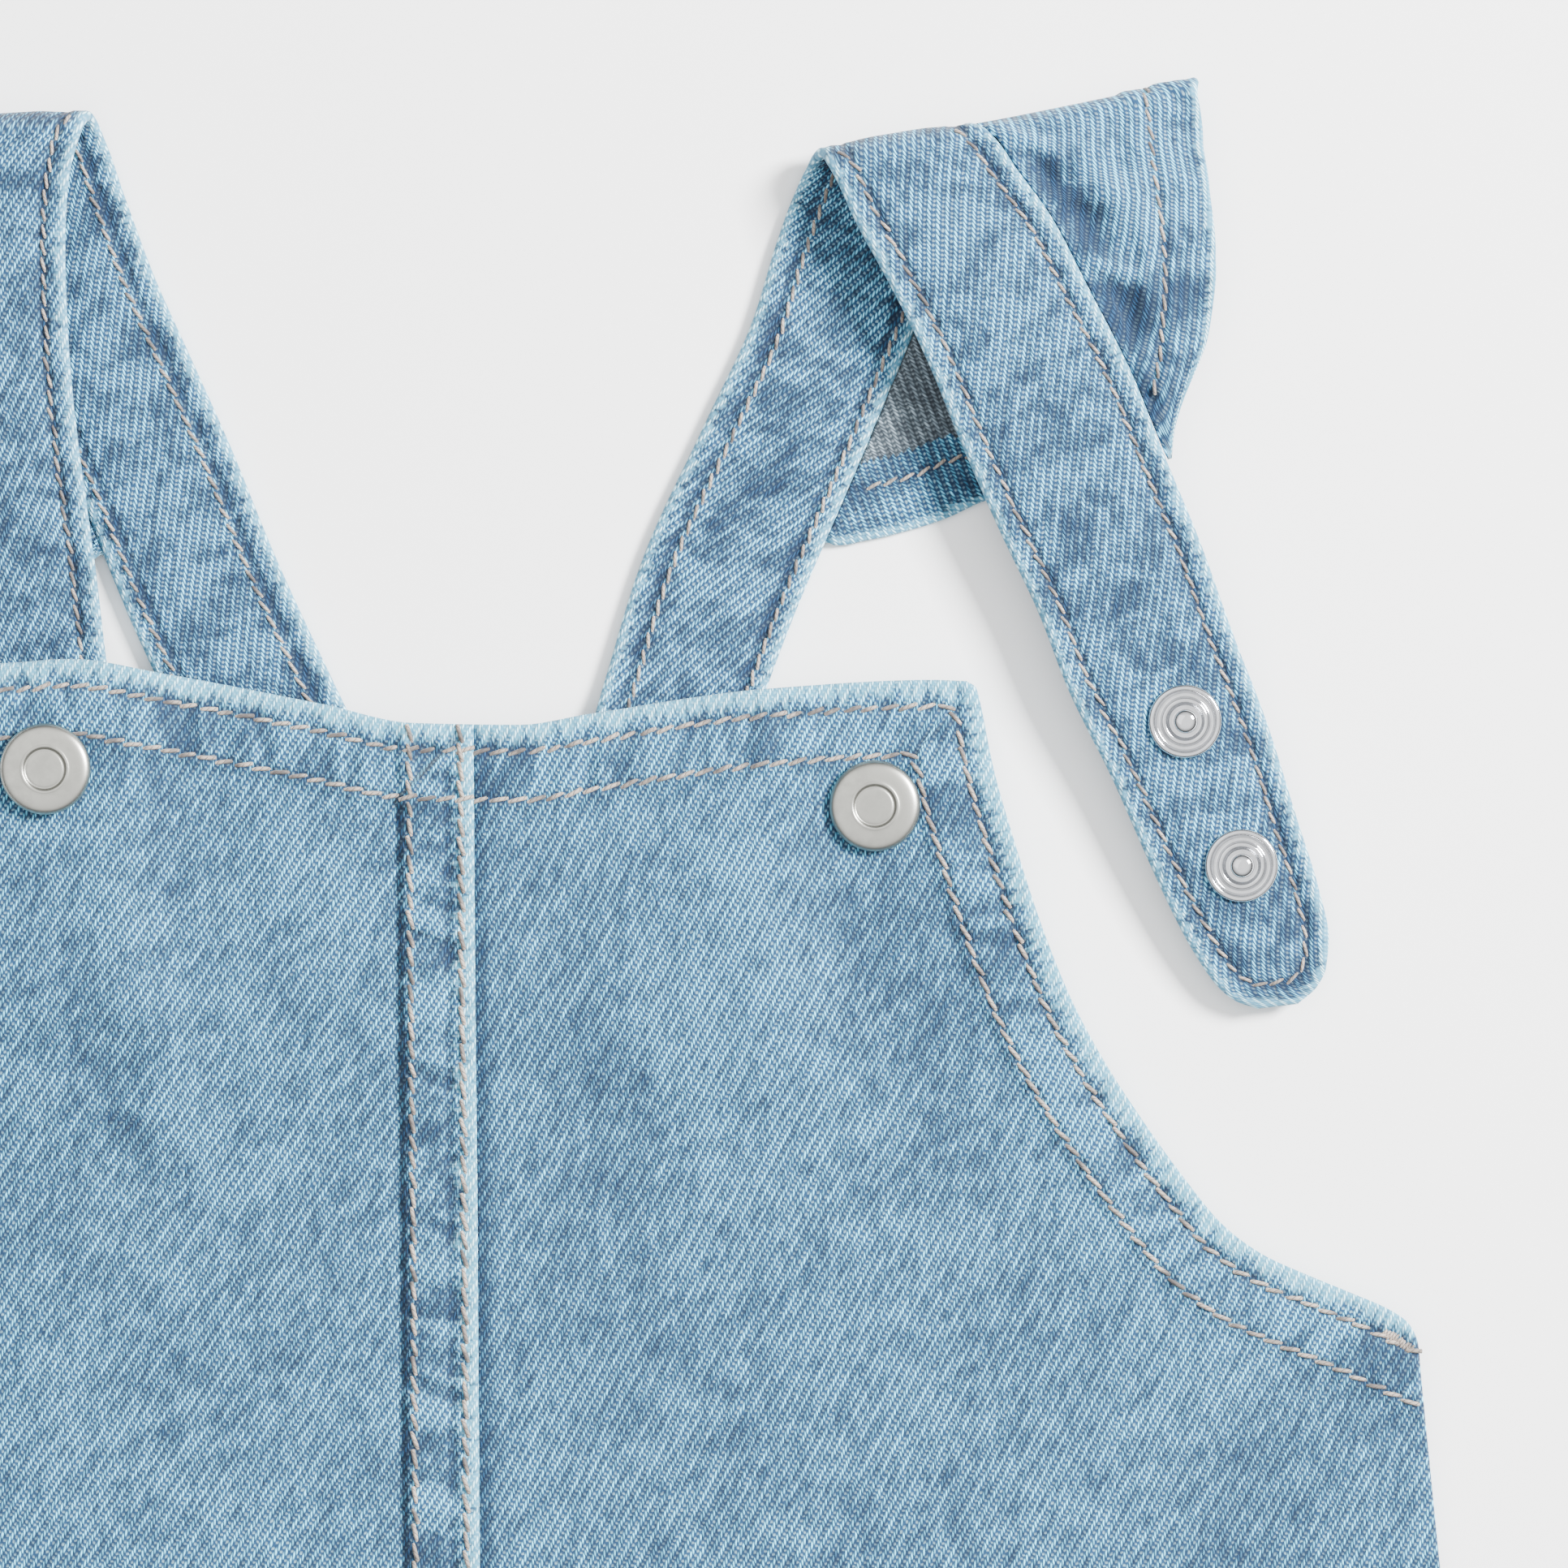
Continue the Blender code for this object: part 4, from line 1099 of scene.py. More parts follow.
EDGE_STEPS = (
    0.0, 0.06, 0.2, 0.45, 0.8, 1.2, 1.8, 2.5, 3.2, 3.8, 4.3, 4.8, 5.5, 6.4, 7.4, 8.4, 9.4, 10.3,
    11.0, 11.5, 12.0, 12.5, 13.0, 13.5, 14.0, 15.0, 16.5,
)
SEAM_STEPS = (
    0.0, 0.06, 0.2, 0.45, 0.8, 1.2, 1.6, 2.1, 2.6, 3.2, 4.2, 5.2, 6.2, 7.2, 8.2, 9.2, 9.8, 10.3,
    10.8, 11.2, 11.5, 11.9, 12.4, 13.2, 14.4,
)
HEM_STEPS = (22.0, 20.5, 19.6, 19.0, 18.0, 17.0, 14.0, 10.0, 6.0, 3.0, 1.4, 0.6, 0.2, 0.0)
ROW_BEND = 1.5
TOP_REACH_DOWN = 60.0


@dataclass
class PanelForm:
    """One half of a panel: sections from its middle to one side, from top edge to hem."""

    rows: tuple[Section, ...]
    hand: float
    top_edge: Curves | None = None
    corner_rise: float = 0.0
    curves: Curves = field(init=False)
    length: float = field(init=False)
    underarm: float = field(init=False)

    def __post_init__(self) -> None:
        """Measure the side."""
        sides = np.array([(row.side_x, row.side_y) for row in self.rows])
        arc = run_lengths(sides)
        self.curves = Curves(self.rows, arc)
        self.length = float(arc[-1])
        self.underarm = float(arc[len(self.rows) - len(SKIRT) - 1])

    def fade(self, down: Points | float) -> Points:
        """Return how much of the top edge's own shape is left at a distance down."""
        return 1.0 - smooth(np.asarray(down) / TOP_REACH_DOWN)

    def side(self, down: Points | float) -> tuple[Points, Points, Points]:
        """Return the side point and the middle at a distance down."""
        found = self.curves.at(down)
        x, y, middle = found[..., 0], found[..., 1], found[..., 2]
        return x * self.hand, y + self.corner_rise * self.fade(down), middle

    def slant(self, down: float) -> float:
        """Return the share of a step across the panel that leads straight from its side."""
        here, there = self.curves.at(down - 0.5), self.curves.at(down + 0.5)
        edge = (there[:2] - here[:2]) / np.linalg.norm(there[:2] - here[:2])
        x, y, middle = self.curves.at(down)
        across = np.array((x, ROW_BEND * (y - middle)))
        across /= np.linalg.norm(across)
        return float(max(abs(edge[0] * across[1] - edge[1] * across[0]), 0.3))

    def height_at(self, down: float, x: Points) -> Points:
        """Return y along the row that leaves the side at a distance down."""
        side_x, side_y, middle = self.side(down)
        share = np.abs(x / side_x) ** ROW_BEND
        y = middle + (side_y - middle) * share
        if self.top_edge is None:
            return y
        corner_y = self.side(0.0)[1]
        bulge = self.top_edge.at(x)[..., 0] - corner_y * share
        return y + bulge * self.fade(down)

    def downs(self, fine: float, coarse: float) -> Points:
        """Return the rows' distances down the side, fine where the edge is turned."""
        last = self.length - HEM_STEPS[0]

        def size(down: float) -> float:
            """Return the rows' spacing at a distance down."""
            return fine + (coarse - fine) * float(smooth((down - 165.0) / 90.0))

        between = graded(EDGE_STEPS[-1], last, size)
        ends = [self.length - step for step in HEM_STEPS[1:]]
        return np.concatenate((EDGE_STEPS[:-1], between, ends))


def turned_edge(distance: Points, width: float = EDGE_WIDTH) -> Points:
    """Return the share of a turned edge's extra thickness at a distance from the edge."""
    return 1.0 - smooth((distance - width) / EDGE_SLOPE)


BIB_CREASES = (
    Crease(-60.0, -30.0, -46.0, -75.0, 7.0, -0.5),
    Crease(-30.0, -14.0, -12.0, -34.0, 6.0, 0.35),
    Crease(62.0, -24.0, 84.0, -64.0, 8.0, -0.45),
    Crease(92.0, -52.0, 112.0, -84.0, 6.0, 0.5),
    Crease(112.0, -92.0, 138.0, -108.0, 8.0, 0.4),
    Crease(20.0, -40.0, 34.0, -92.0, 9.0, -0.35),
    Crease(44.0, -16.0, 58.0, -40.0, 7.0, 0.3),
    Crease(-104.0, -60.0, -120.0, -98.0, 7.0, 0.5),
    Crease(-80.0, -40.0, -98.0, -80.0, 8.0, -0.45),
    Crease(140.0, -104.0, 118.0, -150.0, 9.0, -0.5),
    Crease(-142.0, -106.0, -120.0, -150.0, 9.0, -0.5),
    Crease(60.0, -210.0, 78.0, -390.0, 16.0, 0.5),
    Crease(-70.0, -200.0, -92.0, -390.0, 17.0, 0.5),
    Crease(120.0, -190.0, 138.0, -385.0, 15.0, -0.5),
    Crease(-118.0, -190.0, -140.0, -385.0, 15.0, -0.5),
)


BARTACK = ((151.4, -97.4), (154.0, -99.0), (156.4, -100.2))


@dataclass
class FrontHalf:
    """One half of the front, with its turned edges and its part of the felled seam."""

    name: str
    hand: float
    columns: int = 66
    weave_turn: float = 0.0
    stitches: StitchMaker = field(default_factory=StitchMaker)

    def form(self) -> PanelForm:
        """Return the half's form."""
        top = Curves([(point.y,) for point in TOP_EDGE], [point.x for point in TOP_EDGE])
        rise = LEFT_CORNER_RISE if self.hand < 0 else 0.0
        return PanelForm(FRONT_HALF, self.hand, top, rise)

    def border(self, form: PanelForm) -> Points:
        """Return the turned edge in plan: along the top, then down the armhole."""
        over = SEAM_WIDTH / 2
        x = np.linspace(over, form.side(0.0)[0], 150)
        top = np.stack((x, form.top_edge.at(x)[..., 0], np.zeros_like(x)), 1)
        side_x, side_y, _ = form.side(np.linspace(0.0, form.underarm - 11.5, 220)[1:])
        side = np.stack((side_x, side_y, np.zeros_like(side_x)), 1)
        past = side[-1] + np.outer(np.linspace(1.0, 16.0, 12), (self.hand * 0.905, -0.425, 0.0))
        return np.concatenate((top, side, past))

    def grid(self) -> tuple[Cloth, PanelForm, Points]:
        """Lay out the half's points.

        Returns:
            The cloth, its form and its turned edge.
        """
        form = self.form()
        border = self.border(form)
        downs = form.downs(0.85, 5.0)[::-1]
        over = SEAM_WIDTH / 2
        steps = np.array(SEAM_STEPS if self.hand < 0 else (0.0, 0.06, 0.2, 0.45, 0.9, 1.6, 2.6))
        start = over if self.hand < 0 else over - SEAM_TUCK
        rows = []
        for down in downs:
            side_x, _, middle = form.side(float(down))
            lean = SEAM_LEAN * -middle
            near = lean + start + self.hand * steps
            far = side_x - self.hand * np.array(EDGE_STEPS[::-1]) / form.slant(float(down))
            between = np.linspace(near[-1], far[0], self.columns)[1:-1]
            x = np.concatenate((near, between, far))
            if self.hand < 0:
                x = x[::-1]
            rows.append(np.stack((x, form.height_at(float(down), x)), 1))
        plan = np.array(rows)
        x, y = plan[..., 0], plan[..., 1]
        down = np.repeat(downs[:, None], x.shape[1], 1)
        side_x = form.side(down)[0]
        slant = np.array([form.slant(float(d)) for d in downs])[:, None]
        from_side = np.abs(side_x - x) * slant
        edge, run = nearest_on(border, x, y)
        edge = np.where(down < 4.0, np.minimum(edge, down), edge)
        from_hem = form.length - down
        fold = self.hand * (x - (SEAM_LEAN * -y + start))
        lip = np.maximum(turned_edge(edge), turned_edge(from_hem, HEM_WIDTH))
        wall = CLOTH + TURNED_EDGE * lip
        if self.hand < 0:
            band = 1.0 - smooth((fold - SEAM_WIDTH) / 0.9)
            wall = wall + band * (FELLED_SEAM - TURNED_EDGE * lip / 2)
            in_band = fold < SEAM_WIDTH + 1.5
            run = np.where(in_band & (fold < edge), -y + 300.0, run)
            edge = np.where(in_band, np.minimum(edge, fold), edge)
        else:
            wall = wall - 0.55 * np.exp(-((fold / 1.3) ** 2))
        hem_row = from_hem < edge
        run = np.where(hem_row, x + 900.0, run)
        edge = np.minimum(edge, np.where(from_hem < 3.0, from_hem, 40.0))
        # Painted shade in the creases' troughs and painted highlight on their ridges.
        height, shade = creased(x, y, BIB_CREASES)
        # More painted shade beside the felled seam: right of its folded edge on the right half, at the step
        # of the band's inner edge on the left half.
        if self.hand > 0:
            shade = shade - 1.1 * np.exp(-(((fold - 0.6) / 1.9) ** 2))
        else:
            shade = shade - 0.7 * np.exp(-(((fold - SEAM_WIDTH + 0.2) / 0.8) ** 2))
        rope = wander(run + 0.3 * edge, 6.6, 11 if self.hand < 0 else 12)
        band = smooth((edge - 1.2) / 3.0) * (1.0 - smooth((edge - 10.5) / 2.5))
        rim = smooth(edge / 0.8) * (1.0 - smooth((edge - 3.0) / 1.5))
        ripple = 0.28 * rope * band + 0.13 * wander(run, 3.0, 5) * rim
        dip = 0.22 * np.exp(-(((edge - 4.3) / 0.8) ** 2)) + 0.2 * np.exp(-(((edge - 12.0) / 0.8) ** 2))
        under = front_floor(x, y)
        upper = under + wall + np.where(edge < 20.0, ripple - dip, 0.0) + height * smooth(edge / 6.0)
        rim_distance = np.minimum.reduce((down, from_side, from_hem, np.maximum(fold, 0.0)))
        low, high = rolled(
            np.stack((x, y, under), 2), np.stack((x, y, upper), 2), rim_distance,
        )
        turn = math.radians(self.weave_turn)
        weave = np.stack((
            x * math.cos(turn) + y * math.sin(turn), y * math.cos(turn) - x * math.sin(turn),
        ), 2) * MM
        mirror = weave * np.array((-1.0, 1.0))
        return Cloth(self.name, low, high, mirror, weave, edge, run, shade), form, border

    def rows(self, form: PanelForm, border: Points) -> list[Points]:
        """Return the half's rows of stitches."""
        found = []
        for distance in (4.3, 12.0):
            line = inset(border, distance, self.hand * -1.0)
            out = self.hand * line[:, 0]
            kept = (out > (6.4 if self.hand > 0 else -4.6)) & (out < 156.6)
            found.append(self.lifted(line[kept]))
        if self.hand < 0:
            for across in (3.64, -4.55):
                y = np.arange(-1.5, 4.0 - HEM_DROP, -2.0)
                found.append(self.lifted(np.stack((across + SEAM_LEAN * -y, y, y * 0), 1)))
        down = form.length - 17.0
        side_x = float(form.side(down)[0])
        start = 6.8 if self.hand > 0 else 2.0
        x = np.linspace(self.hand * start, side_x - self.hand * 0.6, 200)
        found.append(self.lifted(np.stack((x, form.height_at(down, x), x * 0), 1)))
        return found

    @staticmethod
    def lifted(line: Points) -> Points:
        """Return a line in plan at about the height of the front's face."""
        line = line.copy()
        line[:, 2] = front_floor(line[:, 0], line[:, 1]) + CLOTH + TURNED_EDGE
        return line

    def build(self) -> None:
        """Make the half and its stitches, and attach them to the dress."""
        cloth, form, border = self.grid()
        obj = cloth.build(Finish.FRONT.value, Finish.INSIDE.value, 12.5)
        sewn = self.stitches.sew("stitches_" + self.name, obj, self.rows(form, border), Sewing())
        tack = self.lifted(np.array([(self.hand * x, y, 0.0) for x, y in BARTACK]))
        tacked = self.stitches.sew("bartack_" + self.name, obj, [as_row(tack, 0.5)], BARTACK_SEWING)
        hand_in(obj, "panel_denim", self.name)
        hand_in(sewn, "panel_denim")
        hand_in(tacked, "panel_denim")
        cloth.area()


@dataclass
class BackPanel:
    """The back, one piece with a narrow bib that the straps are sewn to."""

    name: str = "back"
    columns: int = 50
    stitches: StitchMaker = field(default_factory=StitchMaker)

    def grid(self) -> tuple[Cloth, PanelForm]:
        """Lay out the back's points.

        Returns:
            The cloth and its form.
        """
        form = PanelForm(BACK_HALF, 1.0)
        downs = form.downs(2.2, 6.0)[::-1]
        steps = np.array(EDGE_STEPS[::2] + EDGE_STEPS[-1:])
        rows = []
        for down in downs:
            side_x = float(form.side(float(down))[0])
            far = side_x - steps[::-1] / form.slant(float(down))
            half = np.concatenate((np.linspace(0.0, far[0], self.columns // 2)[:-1], far))
            x = np.concatenate((-half[:0:-1], half))
            shift = BACK_SHIFT * (1.0 - float(smooth(np.array(down / 110.0))))
            rows.append(np.stack((x, form.height_at(float(down), x), x * 0 + shift), 1))
        plan = np.array(rows)
        x, y, shift = plan[..., 0], plan[..., 1], plan[..., 2]
        down = np.repeat(downs[:, None], x.shape[1], 1)
        slant = np.array([form.slant(float(d)) for d in downs])[:, None]
        from_side = np.abs(form.side(down)[0] - np.abs(x)) * slant
        from_hem = form.length - down
        edge = np.minimum(down, np.where(down < form.underarm, from_side, 40.0))
        lip = np.maximum(turned_edge(down), turned_edge(from_side))
        lip = np.maximum(lip, turned_edge(from_hem, HEM_WIDTH))
        wall = CLOTH + TURNED_EDGE * lip
        rim = np.minimum.reduce((down, from_side, from_hem))
        x = x + shift
        low, high = rolled(np.stack((x, y, x * 0), 2), np.stack((x, y, wall), 2), rim)
        low[..., 2] = np.where(rim > 1.2, 0.0, low[..., 2])
        weave = np.stack((x, y), 2) * MM
        mirror = weave * np.array((-1.0, 1.0))
        edge = np.minimum(edge, np.where(from_hem < 3.0, from_hem, 40.0))
        return Cloth(self.name, low, high, mirror, weave, edge, down + x, x * 0.0), form

    def build(self) -> None:
        """Make the back and its hem's stitches, and attach them to the dress."""
        cloth, form = self.grid()
        obj = cloth.build(Finish.INSIDE.value, Finish.FRONT.value)
        rows = []
        for side in (-1.0, 1.0):
            x = np.linspace(0.0, side * (float(form.side(form.length - 17.0)[0]) - 2.0), 160)
            y = form.height_at(form.length - 17.0, x)
            rows.append(np.stack((x, y, x * 0.0 - 1.0), 1))
        sewn = self.stitches.sew("stitches_back", obj, rows, Sewing())
        hand_in(obj, "panel_denim", self.name)
        hand_in(sewn, "panel_denim")
        cloth.area()


@dataclass
class StrapForm:
    """A strap's inner face, read by length along it and across it from neck to arm edge."""

    rows: tuple[StrapRow, ...]
    hand: float
    lengths: Points = field(init=False)
    curves: Curves = field(init=False)

    def __post_init__(self) -> None:
        """Measure the strap along its middle."""
        middles = np.array([
            ((r.neck_x + r.arm_x) / 2, (r.neck_y + r.arm_y) / 2, (r.neck_z + r.arm_z) / 2)
            for r in self.rows
        ])
        self.lengths = run_lengths(middles)
        self.curves = Curves(self.rows, self.lengths)

    def along(self, row: float) -> float:
        """Return the length along the strap at a row number of its table."""
        return float(np.interp(row, np.arange(len(self.lengths)), self.lengths))

    def point(self, length: Points, across: Points) -> Points:
        """Return points of the inner face."""
        found = self.curves.at(length)
        neck, arm = found[..., [0, 1, 4]], found[..., [2, 3, 5]]
        return neck + (arm - neck) * np.asarray(across)[..., None]

    def outward(self, length: Points, across: Points) -> Points:
        """Return directions from the inner face to the outer one."""
        along = self.point(length + 0.4, across) - self.point(length - 0.4, across)
        sideways = self.point(length, across * 0.0 + 1.0) - self.point(length, across * 0.0)
        found = np.cross(sideways, along) * -self.hand
        return found / np.linalg.norm(found, axis=-1)[..., None]


STRAP_EDGE_STEPS = (0.0, 0.06, 0.2, 0.45, 0.8, 1.2, 1.7, 2.2, 2.7, 3.2, 3.7, 4.2, 4.8, 5.6, 6.6)
STRAP_CREASES = (
    Crease(93.0, 55.0, 104.0, 40.0, 5.0, -0.3), Crease(99.0, 26.0, 116.0, 12.0, 5.0, -0.35),
    Crease(80.0, 78.0, 90.0, 62.0, 5.0, 0.25), Crease(118.0, -4.0, 124.0, -16.0, 5.0, -0.3),
    Crease(46.0, 40.0, 60.0, 30.0, 6.0, -0.4), Crease(40.0, 26.0, 50.0, 14.0, 5.0, 0.3),
    Crease(60.0, 74.0, 70.0, 60.0, 5.0, 0.3),
)


@dataclass
class ShoulderStrap:
    """A strap of two layers, folded at the shoulder and stitched all round."""

    name: str
    form: StrapForm
    seed: int
    middle_lanes: int = 14
    stitches: StitchMaker = field(default_factory=StitchMaker)

    def grid(self) -> Cloth:
        """Return the strap's points."""
        form = self.form
        tip, fold = float(form.lengths[-1]), form.along(FOLD_ROW)

        def size(length: float) -> float:
            """Return the spacing of sections along the strap."""
            near_fold = math.exp(-(((length - fold) / 9.0) ** 2))
            near_tip = math.exp(-(((length - tip) / 6.0) ** 2))
            return 1.0 - 0.55 * near_fold - 0.72 * near_tip

        lengths = graded(0.0, tip, size)
        rows = []
        for length in lengths:
            ends = form.point(np.array([length, length]), np.array([0.0, 1.0]))
            width = float(np.linalg.norm(ends[1] - ends[0]))
            steps = np.array(STRAP_EDGE_STEPS) * min(1.0, width * 0.42 / STRAP_EDGE_STEPS[-1])
            middle = np.linspace(steps[-1], width - steps[-1], self.middle_lanes)[1:-1]
            rows.append(np.concatenate((steps, middle, (width - steps)[::-1])) / width)
        across = np.array(rows)
        if form.hand > 0:
            across = 1.0 - across
        length = np.repeat(lengths[:, None], across.shape[1], 1)
        inner = form.point(length, across)
        outward = form.outward(length, across)
        neck, arm = form.point(length, across * 0.0), form.point(length, across * 0.0 + 1.0)
        width = np.linalg.norm(arm - neck, axis=2)
        from_arm = (1.0 - across) * width
        side = np.minimum(across * width, from_arm)
        edge = self.from_border(inner, length, side)
        on_arm = from_arm < across * width
        run = length + np.where(on_arm, 400.0, 0.0)
        # Painted shade in crease troughs and painted highlight on ridges.
        height, shade = creased(inner[..., 0], inner[..., 1], STRAP_CREASES)
        front = smooth((length - fold) / 6.0)
        puff = 0.35 * smooth((edge - 3.9) / 5.0) - 0.3 * np.exp(-(((edge - 3.7) / 0.75) ** 2))
        rope = wander(run + 0.5 * edge, 3.1, self.seed)
        ripple = 0.16 * rope * smooth(edge / 1.0) * (1.0 - smooth((edge - 3.6) / 2.5))
        rise = (puff + ripple + height * front * smooth((edge - 3.0) / 4.0))[..., None]
        fall = (0.4 * puff + ripple + height * (1 - front) * smooth((edge - 3.0) / 4.0))[..., None]
        outer = inner + outward * (STRAP_WALL + rise - 0.1)
        low = inner - outward * (fall * (1.0 - front[..., None]))
        low, high = rolled(low, outer, edge)
        u = across * width * form.hand
        weave_high = np.stack((u, -length), 2) * MM
        weave_low = np.stack((u, length), 2) * MM
        return Cloth(self.name, low, high, weave_low, weave_high, edge, run, shade)

    def from_border(self, inner: Points, length: Points, side: Points) -> Points:
        """Return each point's distance from the strap's outline.

        Args:
            inner: The inner face's points.
            length: How far along the strap each is.
            side: Its distance from the nearer side edge.

        Returns:
            The distance, round the tip too.
        """
        tip = float(self.form.lengths[-1])
        last = np.linspace(tip - 24.0, tip, 60)
        neck = self.form.point(last, last * 0.0)
        arm = self.form.point(last, last * 0.0 + 1.0)
        line = np.concatenate((neck, arm[::-1]))
        apart, _ = nearest_on(line, inner[..., 0], inner[..., 1])
        near_tip = smooth((length - tip + 20.0) / 6.0)
        return side + (np.minimum(apart, side) - side) * near_tip

    @staticmethod
    def led_in(line: Points, length: float) -> Points:
        """Return a line that starts a length earlier, straight on from its first step."""
        step = line[0] - line[3]
        step /= np.linalg.norm(step)
        before = line[0] + np.outer(np.linspace(length, 0.5, 8), step)
        return np.concatenate((before, line))

    def rows(self) -> list[Points]:
        """Return the strap's rows of stitches: on the outer face, then on the inner face."""
        form = self.form
        tip, fold = float(form.lengths[-1]), form.along(FOLD_ROW)
        front = np.linspace(fold + 6.0, tip, 260)
        neck, arm = form.point(front, front * 0.0), form.point(front, front * 0.0 + 1.0)
        neck, arm = self.led_in(neck, 4.6), self.led_in(arm, 5.6)
        line = np.concatenate((neck, arm[::-1]))
        line[:, 2] += STRAP_WALL
        found = [inset(line, 3.7, form.hand)]
        back = np.linspace(2.0, fold - 3.0, 160)
        for across_mm, from_neck in ((4.9, True), (2.7, False)):
            ends = np.linalg.norm(form.point(back, back * 0.0 + 1.0) - form.point(back, back * 0.0), axis=1)
            share = across_mm / ends
            found.append(form.point(back, share if from_neck else 1.0 - share))
        return found

    def build(self) -> None:
        """Make the strap and its stitches, and attach them to the dress."""
        cloth = self.grid()
        obj = cloth.build(Finish.STRAP.value, Finish.STRAP.value)
        sewn = self.stitches.sew("stitches_" + self.name, obj, self.rows(), FINE_SEWING)
        hand_in(obj, "strap_denim", self.name)
        hand_in(sewn, "strap_denim")
        ends = self.form.point(np.array([40.0, 40.0]), np.array([0.0, 1.0]))
        area = cloth.area()


FRILL_CREASES = (
    Crease(94.3, 91.8, 98.8, 85.5, 2.0, -1.5), Crease(98.2, 86.4, 107.6, 75.4, 3.6, -2.4),
    Crease(106.4, 70.4, 113.0, 60.6, 3.4, -2.4), Crease(108.4, 70.4, 110.4, 66.0, 3.4, -1.0),
    Crease(88.6, 94.8, 98.6, 91.2, 1.3, 1.1), Crease(103.2, 74.4, 111.8, 71.4, 1.5, 1.6),
    Crease(104.0, 89.5, 113.0, 78.0, 3.2, 0.9), Crease(119.0, 72.0, 121.4, 64.0, 4.0, -0.6),
    Crease(112.0, 56.0, 115.6, 47.0, 2.0, -1.2), Crease(112.0, 97.0, 117.0, 86.0, 4.0, 0.4),
)


@dataclass
class ShoulderFrill:
    """The frill that is sewn along a strap's arm edge and lies folded over with it."""

    name: str
    strap: StrapForm
    seed: int
    lanes: int = 56
    stitches: StitchMaker = field(default_factory=StitchMaker)

    def ends(self, row: Points) -> tuple[Points, Points, Points]:
        """Return the seam, the hem and the outward direction at rows of the strap."""
        numbers = np.arange(len(self.strap.lengths))
        length = np.interp(row, numbers, self.strap.lengths)
        found = Curves(FRILL, [r.strap_row for r in FRILL]).at(row)
        one = np.ones_like(length)
        edge = self.strap.point(length, one)
        outward = self.strap.outward(length, one)
        sideways = edge - self.strap.point(length, one * 0.0)
        sideways /= np.linalg.norm(sideways, axis=-1)[..., None]
        seam = edge + sideways * 0.06 + outward * 0.35
        hem = np.stack((edge[..., 0] + self.strap.hand * found[..., 1], edge[..., 1] + found[..., 2],
                        found[..., 3]), -1)
        return seam, hem, outward

    def surface(self, row: Points, across: Points) -> tuple[Points, Points, Points]:
        """Return the inner face's points, the width there and the outward direction.

        Args:
            row: Row numbers of the strap.
            across: 0 at the seam, 1 at the hem.

        Returns:
            The points, the distance from seam to hem, and the directions.
        """
        seam, hem, outward = self.ends(row)
        width = np.linalg.norm(hem - seam, axis=-1)
        total = np.zeros_like(row)
        for gather in GATHERS:
            total = total + gather.height * np.exp(-(((row - gather.strap_row) / gather.spread) ** 2))
        lift = total * (1.0 - across) * smooth(across / 0.16) * smooth(width / 14.0)
        points = seam + (hem - seam) * across[..., None]
        points[..., 2] += lift
        return points, width, outward

    def grid(self) -> Cloth:
        """Return the frill's points."""
        first, last = FRILL[0].strap_row, FRILL[-1].strap_row

        def size(row: float) -> float:
            """Return the spacing of sections, in rows of the strap."""
            return 0.085 - 0.055 * math.exp(-(((row - FOLD_ROW) / 0.8) ** 2))

        numbers = graded(first, last, size)
        share = np.linspace(0.0, 1.0, self.lanes)
        share = share + 0.055 * np.sin(2.0 * math.pi * share) * -1.0
        share = np.concatenate(([0.0, 0.004], share[1:-1], [0.985, 0.993, 0.998, 1.0]))
        share = np.unique(np.clip(share, 0.0, 1.0))
        across = np.repeat(share[None, :], len(numbers), 0)
        if self.strap.hand > 0:
            across = 1.0 - across
        row = np.repeat(numbers[:, None], across.shape[1], 1)
        inner, width, _ = self.surface(row, across)
        slope_row, slope_lane = np.gradient(inner, axis=0), np.gradient(inner, axis=1)
        normal = np.cross(slope_lane, slope_row)
        normal /= np.maximum(np.linalg.norm(normal, axis=2), 1e-9)[..., None]
        edge = (1.0 - across) * width
        middle = int(np.abs(numbers - FOLD_ROW).argmin())
        steps = np.linalg.norm(np.diff(inner, axis=0), axis=2)
        along = np.concatenate((np.zeros((1, across.shape[1])), np.cumsum(steps, 0)))
        along = along - along[middle]
        # Painted shade in crease troughs and painted highlight on ridges, used only past the fold.
        height, shade = creased(inner[..., 0], inner[..., 1], FRILL_CREASES)
        front = smooth((row - FOLD_ROW) / 0.7)
        hem_lip = 0.45 * turned_edge(edge, 12.0) * smooth(width / 18.0)
        pleats = wander(along, 6.5, self.seed) * np.exp(-((across * width) / 5.0)) * 0.35
        rope = wander(along + 0.4 * edge, 3.6, self.seed + 1)
        ripple = 0.16 * rope * (1.0 - smooth((edge - 10.0) / 2.5)) * smooth(edge / 1.0)
        dip = 0.22 * np.exp(-(((edge - 8.5) / 0.8) ** 2))
        narrow = smooth(width / 12.0)
        shift = (height * front + pleats + ripple) * narrow
        low = inner + normal * shift[..., None]
        high = low + normal * (CLOTH - 0.15 + hem_lip - dip * narrow)[..., None]
        rim = np.minimum(edge, across * width)
        rim = np.minimum(rim, np.minimum(row - first, last - row) * 12.0)
        low, high = rolled(low, high, rim)
        u = across * width * self.strap.hand
        weave_high = np.stack((u, -along), 2) * MM
        turn = math.radians(50.0)
        plan = inner[..., 0] * self.strap.hand, inner[..., 1]
        weave_low = np.stack((
            plan[0] * math.cos(turn) + plan[1] * math.sin(turn),
            plan[1] * math.cos(turn) - plan[0] * math.sin(turn),
        ), 2) * MM
        return Cloth(self.name, low, high, weave_low, weave_high, edge, along, shade * front)

